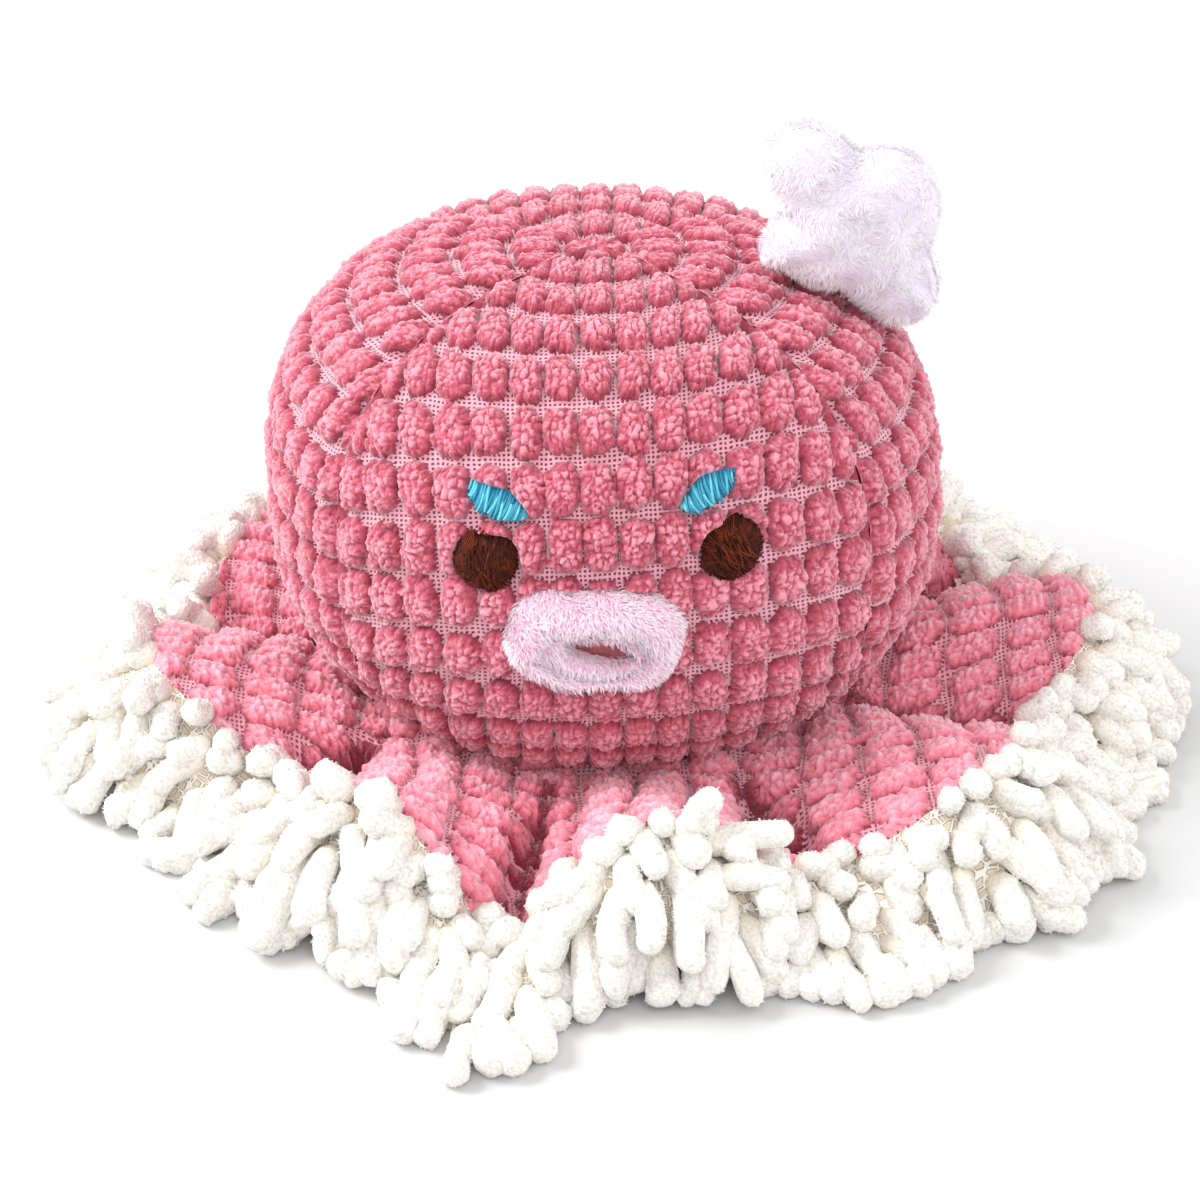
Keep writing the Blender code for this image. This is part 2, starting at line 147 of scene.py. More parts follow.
def writeCloth(obj, u, v):
    # the cloth's own directions in mm, as a UV map
    mesh = obj.data
    while mesh.uv_layers:
        mesh.uv_layers.remove(mesh.uv_layers[0])
    layer = mesh.uv_layers.new(name="cloth")
    corner = readArray(mesh.loops, "vertex_index", 1, np.int32)[:, 0]
    layer.data.foreach_set("uv", np.stack([u, v], 1)[corner].astype(np.float32).ravel())


def writeTone(obj, name, values):
    tone = obj.data.attributes.new(name, "FLOAT", "POINT")
    tone.data.foreach_set("value", np.asarray(values, np.float32))


def finishPiece(obj, material):
    obj.data.materials.clear()
    obj.data.materials.append(material)
    obj.data.shade_smooth()


def fit(obj, body, slot, *nodes):
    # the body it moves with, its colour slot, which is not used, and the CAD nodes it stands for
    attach(obj, body)
    for node in nodes:
        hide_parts(node)


def newPiece(name, verts, faces):
    mesh = bpy.data.meshes.new(name)
    mesh.from_pydata(verts, [], faces)
    obj = bpy.data.objects.new(name, mesh)
    bpy.context.scene.collection.objects.link(obj)
    return obj


def copyOf(obj):
    copy = obj.copy()
    copy.data = obj.data.copy()
    bpy.context.scene.collection.objects.link(copy)
    return copy


# Small tools for numbers

def unit(vectors):
    length = np.linalg.norm(vectors, axis=-1, keepdims=True)
    return vectors / np.maximum(length, 1e-12)


def ramp(x, low, high):
    t = np.clip((x - low) / (high - low), 0, 1)
    return t * t * (3 - 2 * t)


def polarReach(outline, turn, soft):
    # an outline given as (degrees, mm) round a centre, its corners softened, in metres
    angles = np.array([point[0] for point in outline], float)
    reaches = np.tile([point[1] for point in outline], 3)
    angles = np.concatenate([angles - 360, angles, angles + 360])
    total = 0
    weight = 0
    for shift in np.linspace(-1.5, 1.5, 7):
        share = math.exp(-shift**2)
        total = total + share * np.interp(turn / degrees % 360 + shift * soft, angles, reaches)
        weight += share
    return total / weight * mm


def edgeDistance(x, z, edge):
    # how far points lie from a closed outline
    nearest = np.full(x.shape, 1e9)
    for (ax, az), (bx, bz) in zip(edge, np.roll(edge, -1, 0)):
        dx, dz = bx - ax, bz - az
        t = np.clip(((x - ax) * dx + (z - az) * dz) / max(dx * dx + dz * dz, 1e-12), 0, 1)
        nearest = np.minimum(nearest, np.hypot(x - ax - t * dx, z - az - t * dz))
    return nearest


def scatter(i, j, seed):
    # a number from 0 to 1 for each cell, the same on every run
    h = i.astype(np.int64) * 73856093 ^ j.astype(np.int64) * 19349663 ^ seed * 83492791
    h = (h ^ (h >> 13)) * 1274126177 & 0xFFFFFFFF
    h = (h ^ (h >> 16)) * 2246822519 & 0xFFFFFFFF
    return ((h ^ (h >> 15)) & 0xFFFFFF) / 0x1000000


def softNoise(u, v, size, seed):
    x, y = u / size, v / size
    i, j = np.floor(x), np.floor(y)
    fx, fy = ramp(x - i, 0, 1), ramp(y - j, 0, 1)
    low = scatter(i, j, seed) * (1 - fx) + scatter(i + 1, j, seed) * fx
    high = scatter(i, j + 1, seed) * (1 - fx) + scatter(i + 1, j + 1, seed) * fx
    return 2 * (low * (1 - fy) + high * fy) - 1


def lumps(u, v, size, seed):
    # distance to the nearest and the next of scattered points, and a number of the nearest one's own
    x, y = u / size, v / size
    i, j = np.floor(x), np.floor(y)
    first = np.full(x.shape, 9.0)
    second = first.copy()
    own = np.zeros(x.shape)
    for di in (-1, 0, 1):
        for dj in (-1, 0, 1):
            ci, cj = i + di, j + dj
            px = ci + 0.15 + 0.7 * scatter(ci, cj, seed)
            py = cj + 0.15 + 0.7 * scatter(ci, cj, seed + 1)
            away = np.hypot(x - px, y - py)
            nearer = away < first
            second = np.where(nearer, first, np.minimum(second, away))
            own = np.where(nearer, scatter(ci, cj, seed + 2), own)
            first = np.where(nearer, away, first)
    return first, second, own


def roundTop(away):
    # height of a small ball round a scattered point
    return np.sqrt(np.clip(1 - (away / 0.85) ** 2, 0, 1))


# Shader maths as Python expressions

class Tone:
    def __init__(self, tree, socket=None):
        self.tree = tree
        self.socket = socket

    def node(self, kind, settings, sockets, out=0):
        made = self.tree.nodes.new(kind)
        for key, value in settings.items():
            setattr(made, key, value)
        for key, value in sockets.items():
            if isinstance(value, Tone):
                self.tree.links.new(value.socket, made.inputs[key])
            else:
                made.inputs[key].default_value = value
        return Tone(self.tree, made.outputs[out])

    def math(self, operation, first, second=0.0):
        return self.node("ShaderNodeMath", {"operation": operation}, {0: first, 1: second})

    def __add__(self, other):
        return self.math("ADD", self, other)

    def __radd__(self, other):
        return self.math("ADD", other, self)

    def __sub__(self, other):
        return self.math("SUBTRACT", self, other)

    def __rsub__(self, other):
        return self.math("SUBTRACT", other, self)

    def __mul__(self, other):
        return self.math("MULTIPLY", self, other)

    def __rmul__(self, other):
        return self.math("MULTIPLY", other, self)

    def step(self, low, high):
        sockets = {"Value": self, "From Min": low, "From Max": high}
        return self.node("ShaderNodeMapRange", {"interpolation_type": "SMOOTHSTEP"}, sockets)

    def mix(self, first, second):
        # first where this is 0, second where it is 1
        return self.node("ShaderNodeMix", {"data_type": "RGBA"}, {0: self, 6: first, 7: second}, 2)

    def noise(self, scale, detail, distortion=0.0):
        sockets = {"Vector": self, "Scale": scale, "Detail": detail, "Distortion": distortion}
        return self.node("ShaderNodeTexNoise", {}, sockets)

    def cells(self, scale, feature="F1"):
        return self.node("ShaderNodeTexVoronoi", {"feature": feature}, {"Vector": self, "Scale": scale})


def newFinish(name, fixed):
    material = bpy.data.materials.new(name)
    material.use_nodes = True
    tree = material.node_tree
    shader = tree.nodes["Principled BSDF"]
    for key, value in fixed.items():
        shader.inputs[key].default_value = value
    start = Tone(tree)
    solid = start.node("ShaderNodeTexCoord", {}, {}, 3)
    return material, shader, start, solid


def useFinish(shader, shown, height, distance, strength):
    shown.tree.links.new(shown.socket, shader.inputs["Base Color"])
    sockets = {"Height": height, "Distance": distance, "Strength": strength}
    bump = shown.node("ShaderNodeBump", {}, sockets)
    shown.tree.links.new(bump.socket, shader.inputs["Normal"])


def attribute(start, name):
    return start.node("ShaderNodeAttribute", {"attribute_name": name}, {}, 2)


def clothPlace(start):
    return start.node("ShaderNodeUVMap", {"uv_map": "cloth"}, {})


# Finishes

colours = {
    # as a picture shows them, 0 to 255, the darkest first
    "headPlush": ((108, 27, 45), (191, 81, 101), (236, 148, 166)),  # creases of the pile in painted shade, sides, tips with a painted highlight
    # the same plush on the skirt, painted lighter to make up for the head's shade on it; creases and tips
    # painted as on the head
    "skirtPlush": ((132, 40, 58), (252, 146, 165), (255, 188, 205)),
    "knit": ((106, 30, 50), (240, 182, 196)),  # holes painted dark with the shade inside them, and threads of the plush's ground
    "chenille": ((226, 220, 211), (244, 242, 238), (242, 229, 206)),  # hollows in painted shade, tips, and painted shade at the root where the noodles crowd
    "tape": ((226, 207, 178), (253, 247, 238), (255, 252, 246)),  # holes painted darker with the shade behind them, threads, fluff
    # fur, root end first: the darker roots are partly painted shade and partly the fur's own tone
    "tuftFur": ((240, 228, 246), (255, 253, 255)),
    "lipFur": ((246, 186, 214), (255, 242, 251)),
    # threads, dark and light: the light end of the eye and brow threads stands in for glints, a painted
    # highlight
    "eyeThread": ((32, 8, 3), (128, 50, 24)),
    "browThread": ((0, 112, 152), (128, 232, 248)),
    "paleThread": ((226, 160, 172), (255, 232, 236)),
    "felt": ((128, 52, 62), (196, 112, 118)),
}
knitPitch = 1.1  # mm between the threads of the plush's ground


def linear(part):
    part = part / 255
    return part / 12.92 if part < 0.04045 else ((part + 0.055) / 1.055) ** 2.4


def tonesOf(name):
    return [tuple(linear(part) for part in colour) + (1,) for colour in colours[name]]


def plushFinish(name, tones):
    fixed = {"Roughness": 0.9, "Sheen Weight": 1.0, "Sheen Roughness": 0.5,
             "Sheen Tint": (1, 0.84, 0.9, 1), "Specular IOR Level": 0.1}
    material, shader, start, solid = newFinish(name, fixed)
    crease, side, tip = tones
    holeShade, thread = tonesOf("knit")
    pile, nub = attribute(start, "pile"), attribute(start, "nub")
    fine, patch, loose = solid.noise(1500, 3), solid.noise(90, 2), solid.noise(420, 1)
    curl = solid.cells(1300)
    # pile: painted shade in its creases, painted highlight on its tips
    height = (nub + 0.4 * (fine - 0.5) + 0.25 * (patch - 0.5)).step(0.0, 0.62)
    toneAndPaintedLight = (nub + 0.6 * (fine - 0.5) + 0.3 * (0.5 - curl)).step(0.5, 1.1)
    fluff = toneAndPaintedLight.mix(height.mix(crease, side), tip)
    # knitted ground: threads both ways round holes painted dark with the shade inside them
    lines = []
    for axis, wobble in ((0, 0.7), (1, -0.7)):
        way = start.node("ShaderNodeSeparateXYZ", {}, {"Vector": clothPlace(start)}, axis)
        turn = way * (1 / knitPitch) + wobble * (loose - 0.5)
        away = turn.math("ABSOLUTE", turn.math("FRACT", turn) - 0.5)
        lines.append(away.step(0.2, 0.32))
    knit = start.math("MAXIMUM", *lines)
    ground = (0.3 * fine).mix(knit.mix(holeShade, thread), side)
    cover = (pile + 0.5 * (fine - 0.5)).step(0.25, 0.6)
    relief = cover * (0.6 * fine + 0.8 * (1 - curl)) + (1 - cover) * knit
    useFinish(shader, cover.mix(ground, fluff), relief, 0.0005, 0.4)
    return material


def chenilleFinish():
    fixed = {"Roughness": 0.95, "Sheen Weight": 0.5, "Sheen Roughness": 0.5, "Specular IOR Level": 0.1}
    material, shader, start, solid = newFinish("white_chenille", fixed)
    hollowShade, tip, rootShade = tonesOf("chenille")
    fine, lump, curl = solid.noise(1300, 3), solid.noise(420, 1), solid.cells(1100)
    # painted shade in the small hollows and towards each noodle's root, where the noodles crowd
    white = (curl + 0.4 * (fine - 0.5)).step(0.3, 1.0).mix(tip, hollowShade)
    shown = (attribute(start, "root") * 0.85).mix(white, rootShade)
    useFinish(shader, shown, 0.7 * (1 - curl) + 0.4 * fine + 1.1 * lump, 0.0008, 0.55)
    return material


def tapeFinish():
    fixed = {"Roughness": 0.9, "Sheen Weight": 0.2, "Specular IOR Level": 0.2}
    material, shader, start, solid = newFinish("knitted_tape", fixed)
    holeShade, threadTone, fluff = tonesOf("tape")
    fine = solid.noise(700, 2)
    thread = 1 - clothPlace(start).cells(0.5, "DISTANCE_TO_EDGE").step(0.07, 0.17)
    # holes painted darker with the shade behind them
    shown = (0.35 * fine).mix(thread.mix(holeShade, threadTone), fluff)
    useFinish(shader, shown, thread + 0.2 * fine, 0.0009, 0.9)
    return material


def furFinish(name, tones):
    fixed = {"Roughness": 0.7, "Sheen Weight": 0.4, "Sheen Roughness": 0.4, "Specular IOR Level": 0.2}
    material, shader, start, solid = newFinish(name, fixed)
    fine, patch = solid.noise(900, 3, 1.5), solid.noise(130, 2)
    # darker towards each hair's root and on the piece under the hairs: painted shade; the noise is the fur's
    # own tone
    tone = attribute(start, "tip") * 0.55 + 0.35 * fine + 0.35 * patch
    useFinish(shader, tone.step(0.15, 0.8).mix(*tones), fine, 0.0006, 0.5)
    return material


def threadFinish(name, tones):
    material, shader, start, solid = newFinish(name, {"Roughness": 0.45, "Specular IOR Level": 0.14})
    sockets = {"Vector": solid, "Scale": 900, "Distortion": 2}
    twist = start.node("ShaderNodeTexWave", {"bands_direction": "DIAGONAL"}, sockets)
    shown = (attribute(start, "strand") * (0.8 + 0.25 * twist)).mix(*tones)
    useFinish(shader, shown, twist, 0.0001, 0.6)
    return material


def feltFinish(name, tones):
    fixed = {"Roughness": 0.95, "Sheen Weight": 0.3, "Specular IOR Level": 0.1}
    material, shader, start, solid = newFinish(name, fixed)
    fine = solid.noise(1200, 4)
    useFinish(shader, fine.mix(*tones), fine, 0.0005, 0.8)
    return material


pinkPlush = plushFinish("pink_plush", tonesOf("headPlush"))
skirtPlush = plushFinish("skirt_plush", tonesOf("skirtPlush"))
whiteChenille = chenilleFinish()
knittedTape = tapeFinish()
tuftFur = furFinish("tuft_fur", tonesOf("tuftFur"))
lipFur = furFinish("lip_fur", tonesOf("lipFur"))
eyeThread = threadFinish("brown_thread", tonesOf("eyeThread"))
browThread = threadFinish("turquoise_thread", tonesOf("browThread"))
paleThread = threadFinish("pale_thread", tonesOf("paleThread"))
roseFelt = feltFinish("rose_felt", tonesOf("felt"))
print("finishes made")


# Face: places and outlines, as seen from the front, in mm

face = {
    "leftBrow": ((-30, 98.4), (-26.6, 98), (-22.2, 97.6), (-18.8, 95), (-17.2, 92.8), (-20.6, 91.3),
                 (-25.1, 91.5), (-28.4, 92.9), (-31, 95.6)),
    "rightBrow": ((16.5, 94.4), (19.0, 98.0), (21.4, 100.1), (24.9, 100.4), (28.9, 100.2), (28.7, 97.6),
                  (27.2, 95.7), (24.2, 94.1), (20.3, 92.8), (17.5, 93.8)),
    "leftEye": ((-30.4, 88.2), (-28, 87.4), (-22.4, 88.0), (-19.9, 85.9), (-19.5, 82.6), (-20.7, 79.6),
                (-23.7, 77.1), (-26.8, 74.9), (-29.9, 75.5), (-33.3, 77.8), (-34.4, 80.2), (-34, 83.2),
                (-32.4, 85.7)),
    "rightEye": ((29.4, 92), (31, 90.2), (33.3, 88.9), (35, 85.8), (35, 83), (34.3, 80.2), (31.9, 78.8),
                 (28.9, 77.5), (25.1, 78.7), (21.3, 81.1), (21.3, 85.1), (22.7, 88.4), (26.1, 89.4)),
    # the lips' rim: degrees and reach round their place
    "lips": ((2, 20.2), (16, 20), (30, 17.4), (50, 13), (64, 11.7), (95, 10.4), (116, 10.8), (129, 13.5),
             (146, 16.4), (162, 18.2), (178, 18.4), (192, 20.2), (204, 18.7), (225, 14.9), (245, 14),
             (258, 11.8), (276, 10.8), (296, 11.8), (311, 15.6), (333, 19.6), (350, 19.8)),
    "lipsPlace": (-3.0, 66.4), "lipsSoft": 6, "points": 72,
    "press": 1.2,  # how far round them the beads are pressed flat
    "area": (45, 40, 110),  # half width, lowest and highest place of the beads that may be pressed
}


def frontShape(name):
    # an outline's points, evenly spaced and with softened corners, in metres
    points = np.array(face[name], float) * mm
    closed = np.vstack([points, points[:1]])
    way = np.append(0, np.cumsum(np.linalg.norm(np.diff(closed, axis=0), axis=1)))
    at = np.linspace(0, way[-1], face["points"], endpoint=False)
    edge = np.stack([np.interp(at, way, closed[:, 0]), np.interp(at, way, closed[:, 1])], 1)
    for _ in range(2):
        edge = (np.roll(edge, 1, 0) + 2 * edge + np.roll(edge, -1, 0)) / 4
    return edge


def lipsRim(turn):
    reach = polarReach(face["lips"], turn, face["lipsSoft"])
    x, z = face["lipsPlace"]
    return x * mm + reach * np.cos(turn), z * mm + reach * np.sin(turn)


def lipsShape():
    return np.stack(lipsRim(np.linspace(0, 2 * math.pi, face["points"], endpoint=False)), 1)


def isInside(x, z, edge):
    inside = np.zeros(x.shape, bool)
    for (ax, az), (bx, bz) in zip(edge, np.roll(edge, -1, 0)):
        crosses = (az > z) != (bz > z)
        with np.errstate(divide="ignore", invalid="ignore"):
            inside ^= crosses & (x < (bx - ax) * (z - az) / (bz - az) + ax)
    return inside


faceShapes = {name: frontShape(name) for name in ("leftBrow", "rightBrow", "leftEye", "rightEye")}
faceShapes["lips"] = lipsShape()


def pressedPile(points):
    # 1 where embroidery or the lips press the beads flat
    pressed = np.zeros(len(points))
    wide, low, high = (value * mm for value in face["area"])
    near = (points[:, 1] < 0) & (np.abs(points[:, 0]) < wide) & (points[:, 2] > low) & (points[:, 2] < high)
    x, z = points[near, 0], points[near, 2]
    worst = np.zeros(len(x))
    for edge in faceShapes.values():
        away = edgeDistance(x, z, edge) * np.where(isInside(x, z, edge), -1, 1) / mm
        worst = np.maximum(worst, 1 - ramp(away, -0.3, face["press"]))
    pressed[near] = worst
    return pressed


# Plush cloth with its grid of chenille beads

beads = {
    # in mm
    "columnPitch": 8.1, "rowPitch": 13.4, "wander": (0.4, 0.9),
    "halfWidth": 4.2, "halfLength": 6.4, "rise": 2.9,
    "nubPitch": 1.7, "nubRise": 1.0, "nubBend": 0.9, "curlPitch": 0.95, "curlRise": 0.22, "curlBend": 0.4,
    "bendSize": 2.3, "edgeWobble": 0.5, "wobbleSizes": (1.5, 3.7),
    "sink": 2.1,  # of the knitted ground under the solid's surface
    "corners": 2.7, "topFlatness": 2.4,  # 2 is round, higher is squarer
}


def beadRelief(u, v, seed, nubShare=1.0):
    # height over the knitted ground in mm, how much pile covers it, and a tone for the pile: painted
    # highlight on the nubs' tops, painted shade towards the bead's edges
    column, row = np.round(u / beads["columnPitch"]), np.round(v / beads["rowPitch"])
    own = scatter(column, row, seed)
    wanderU, wanderV = beads["wander"]
    du = u - column * beads["columnPitch"] + wanderU * (scatter(column, row, seed + 1) - 0.5)
    dv = v - row * beads["rowPitch"] + wanderV * (scatter(column, row, seed + 2) - 0.5)
    fineSize, wideSize = beads["wobbleSizes"]
    wobble = softNoise(u, v, fineSize, seed + 3) + 0.6 * softNoise(u, v, wideSize, seed + 4)
    wobble = beads["edgeWobble"] * wobble
    x = np.maximum(np.abs(du) + wobble, 0) / (beads["halfWidth"] * (0.96 + 0.08 * own))
    y = np.maximum(np.abs(dv) + wobble, 0) / (beads["halfLength"] * (1.06 - 0.12 * own))
    away = (x ** (beads["corners"] - 0.1) + y ** (beads["corners"] + 0.1)) ** (1 / beads["corners"])
    dome = np.clip(1 - away ** beads["topFlatness"], 0, 1) ** 0.5
    bend, sway = softNoise(u, v, beads["bendSize"], seed + 5), softNoise(u, v, beads["bendSize"], seed + 9)
    reach = beads["nubBend"]
    first, second, nubOwn = lumps(u + reach * bend, v + reach * sway, beads["nubPitch"], seed + 6)
    nub = roundTop(first) * (0.25 + 0.75 * ramp(second - first, 0, 0.3))
    reach = beads["curlBend"]
    first, second, curlOwn = lumps(u + reach * sway, v - reach * bend, beads["curlPitch"], seed + 12)
    curl = roundTop(first)
    height = beads["rise"] * (0.88 + 0.24 * own) * dome
    nubs = beads["nubRise"] * (nub * (0.5 + nubOwn) - 0.5)
    nubs += beads["curlRise"] * (curl * (0.5 + curlOwn) - 0.5)
    height += nubShare * nubs * ramp(dome, 0.1, 0.6)
    # a random tone of each nub and curl, lighter on their tops as a painted highlight, and darker towards the
    # bead's edges as painted shade in the crevices between beads
    toneAndPaintedLight = 0.1 + 0.6 * nub * (0.6 + 0.8 * nubOwn) + 0.35 * curl * (0.4 + 1.2 * curlOwn)
    return np.maximum(height, 0), ramp(dome, 0.08, 0.3), toneAndPaintedLight * (0.12 + 0.88 * dome)


def surfaceNormal(pointAt, a, b):
    step = 0.002
    across = pointAt(a + step, b) - pointAt(a - step, b)
    along = pointAt(a, b + step) - pointAt(a, b - step)
    normal = np.cross(across, along)
    normal[np.linalg.norm(normal, axis=1) < 1e-12] = (0, 0, 1)
    return unit(normal)


# Head: four stuffed gores

head = {
    "radius": 0.083, "topHeight": 0.0674, "lowHeight": 0.0579, "topFullness": 2.74, "lowFullness": 2.18,
    "footRadius": 0.048, "footHeight": 0.0006, "lean": -0.0022,
    "seamDepth": 0.0016, "seamWidth": 0.0026, "puff": 0.0006,
    "rowSag": 0.00192, "rowTilt": -0.0648, "rowStart": 8.1, "flatColumns": 25, "wideShare": 0.81,
    "crownFade": (1, 8), "footFade": (0.5, 9), "seamFade": 1.8,  # mm over which the beads grow
}
gores = (
    # piece, node, middle and half span in degrees, columns and rows of faces, seed
    ("head_front_cloth", "head_front_panel", 270, 50, 380, 400, 11),
    ("head_right_cloth", "head_right_panel", 0, 40, 230, 350, 23),
    ("head_back_cloth", "head_back_panel", 90, 50, 250, 340, 37),
    ("head_left_cloth", "head_left_panel", 180, 40, 230, 350, 41),
)


def headProfile():
    turn = np.linspace(math.pi / 2, 0, 1500)
    radius = head["radius"] * np.cos(turn) ** (2 / head["topFullness"])
    height = head["lowHeight"] + head["topHeight"] * np.sin(turn) ** (2 / head["topFullness"])
    last = math.acos((head["footRadius"] / head["radius"]) ** (head["lowFullness"] / 2))
    turn = np.linspace(0, last, 900)[1:]
    radius = np.append(radius, head["radius"] * np.cos(turn) ** (2 / head["lowFullness"]))
    height = np.append(height, head["lowHeight"] * (1 - np.sin(turn) ** (2 / head["lowFullness"])))
    radius = np.append(radius, head["footRadius"])
    height = np.append(height, head["footHeight"])
    way = np.append(0, np.cumsum(np.hypot(np.diff(radius), np.diff(height))))
    return way, radius, height


headWay, headRadii, headHeights = headProfile()
crownHeight = head["lowHeight"] + head["topHeight"]


def leanAt(height):
    # how far the head leans to the side
    return head["lean"] * ramp(height, 0.055, 0.12)


def gorePoint(middle, half):
    depth = head["seamDepth"] + head["puff"]

    def pointAt(a, b):
        # a runs from seam to seam, b from the crown to the foot
        way = (b + 1) / 2 * headWay[-1]
        radius = np.interp(way, headWay, headRadii)
        height = np.interp(way, headWay, headHeights)
        seamAway = np.maximum(1 - np.abs(a), 0) * half * radius
        inset = head["puff"] - depth * np.exp(-((seamAway / head["seamWidth"]) ** 2))
        inset = inset * ramp(radius, 0.008, 0.03) * ramp(height, 0.012, 0.03)
        out = radius + inset * ramp(crownHeight - height, 0, 0.012)
        up = height + inset * (1 - ramp(crownHeight - height, 0, 0.03))
        azimuth = middle - a * half
        return np.stack([out * np.cos(azimuth) + leanAt(height), out * np.sin(azimuth), up], 1)
    return pointAt


def makeGore(name, node, middle, half, columns, rows, seed):
    cloth, a, b = addGrid(name, columns, rows)
    middle, half = middle * degrees, half * degrees
    way = (b + 1) / 2 * headWay[-1]
    radius = np.interp(way, headWay, headRadii)
    u = -a * half * radius / mm
    v = way / mm - head["rowStart"] - beads["rowPitch"] / 2
    if node == "head_front_panel":
        v = v - head["rowSag"] * u**2 - head["rowTilt"] * u
    flat = head["flatColumns"]
    warped = np.where(np.abs(u) < flat, u, np.sign(u) * (flat + (np.abs(u) - flat) * head["wideShare"]))
    height, pile, toneAndPaintedLight = beadRelief(warped, v, seed)
    pointAt = gorePoint(middle, half)
    base = pointAt(a, b)
    seamAway = (1 - np.abs(a)) * half * radius / mm
    atSeam = 0.15 + 0.85 * ramp(seamAway, 0.0, head["seamFade"])
    atCrown = 0.35 + 0.65 * ramp(way / mm, *head["crownFade"])
    fade = atSeam * atCrown * ramp((headWay[-1] - way) / mm, *head["footFade"])
    if node == "head_front_panel":
        fade = fade * (1 - pressedPile(base))
    rise = (height * fade - beads["sink"] * ramp(seamAway, 0, 1.5)) * mm
    writePoints(cloth, base + surfaceNormal(pointAt, a, b) * rise[:, None])
    writeCloth(cloth, warped, v)
    writeTone(cloth, "pile", np.maximum(pile * fade, 1 - ramp(seamAway, 0.6, 1.6)))
    # darker beside the seams: painted shade in their grooves, at least 0.4 right on the seam
    toneAndPaintedLight = toneAndPaintedLight * (0.7 + 0.3 * ramp(seamAway, 0, 1.6))
    writeTone(cloth, "nub", np.maximum(toneAndPaintedLight, 0.4 * ramp(seamAway, 1.6, 0.4)))
    tidyMesh(cloth, 0.000002)  # closes the crown
    finishPiece(cloth, pinkPlush)
    fit(cloth, "head", "pink_plush", node)
    return cloth


goreCloths = [makeGore(*values) for values in gores]
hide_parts("head_filling")
print("head gores made")


# Base: the flat cloth that the toy sits on

def makeBase():
    cloth, a, b = addGrid("base_cloth", 96, 96)
    reach = np.maximum(np.abs(a), np.abs(b))  # a square pulled round
    turn = np.arctan2(b, a)
    x, y = reach * head["footRadius"] * np.cos(turn), reach * head["footRadius"] * np.sin(turn)
    height, pile, toneAndPaintedLight = beadRelief(y / mm, x / mm, 53)
    flat = 1 - np.clip(height / beads["rise"], 0, 1)
    up = 0.0002 + 0.0022 * flat * ramp(1 - reach, 0, 0.06)  # the beads rest on the floor
    writePoints(cloth, np.stack([x, -y, up], 1))
    writeCloth(cloth, y / mm, x / mm)
    writeTone(cloth, "pile", pile)
    writeTone(cloth, "nub", toneAndPaintedLight)
    finishPiece(cloth, pinkPlush)
    fit(cloth, "head", "pink_plush", "base_panel")


makeBase()


# Skirt: one wavy cloth, cut at its valleys into eight arms

skirt = {
    "hinge": 0.064018, "yokeHeight": 0.0135, "length": 0.054, "ridgeHeight": 0.034,
    "neckReach": 0.0545, "neckRise": 0.0035, "faceSize": 0.0006, "thickness": 0.0016,
    "blendStart": 0.0002, "blendLength": 0.012,  # a start and a length, outwards from the hinge
    "belly": 0.0026, "foldNoise": 0.0030, "sharpValley": 0.62, "patternDrift": 2.4, "nubShare": 1.35,
    # the creases at the valleys: depth, width as a share of the half arm, painted shade, and their lowest
    # height
    "creaseDepth": 0.0095, "creaseShare": 0.13, "creaseShade": 0.85, "lowest": 0.0042,
    "meanWidth": 0.85, "gathers": (1.1, 1.15),  # share of the widest part; the cut size over the sewn one
    "edgeFade": 0.06, "shadeFrom": 0.77, "shadeTo": 0.97,  # shade of the valleys: ridge is 0, valley 1
    "yokeFaces": (620, 18),
    # ridge angle in degrees, shares of length and height at the ridge, then at the valley clockwise of it
    "arms": (
        (354, 1.13, 0.97, 0.89, 0.53),
        (45, 0.78, 0.72, 0.78, 0.26),
        (97, 0.85, 0.76, 0.85, 0.20),
        (157, 0.81, 0.70, 0.89, 0.20),
        (197, 1.00, 1.00, 0.78, 0.35),
        (242, 0.85, 0.94, 0.65, 0.38),
        (275, 0.81, 1.00, 1.00, 0.15),
        (319, 1.07, 0.91, 0.91, 0.45),
    ),
}


def armValues(index):
    arms = skirt["arms"]
    here, before, after = arms[index], arms[index - 1], arms[(index + 1) % len(arms)]
    return {
        "angle": here[0] * degrees,
        "halves": ((here[0] - before[0]) % 360 / 2 * degrees, (after[0] - here[0]) % 360 / 2 * degrees),
        "reach": skirt["length"] * here[1],
        "height": skirt["ridgeHeight"] * here[2],
        "lowReach": (skirt["length"] * here[3], skirt["length"] * after[3]),
        "lowHeight": (skirt["ridgeHeight"] * here[4], skirt["ridgeHeight"] * after[4]),
    }


def sided(values, a):
    return np.where(a > 0, values[1], values[0])


def edgeAt(arm, a):
    # reach and height of the plush edge, ridge at a = 0 and valleys at a = -1 and 1
    share = ((1 + np.cos(math.pi * np.clip(a, -1, 1))) / 2) ** skirt["sharpValley"]
    lowReach, lowHeight = sided(arm["lowReach"], a), sided(arm["lowHeight"], a)
    reach = skirt["hinge"] + lowReach + (arm["reach"] - lowReach) * share
    return reach, lowHeight + (arm["height"] - lowHeight) * share


def onArm(arm, a, reach, height):
    turn = arm["angle"] + a * sided(arm["halves"], a)
    return np.stack([reach * np.cos(turn), reach * np.sin(turn), height + 0 * reach], -1)


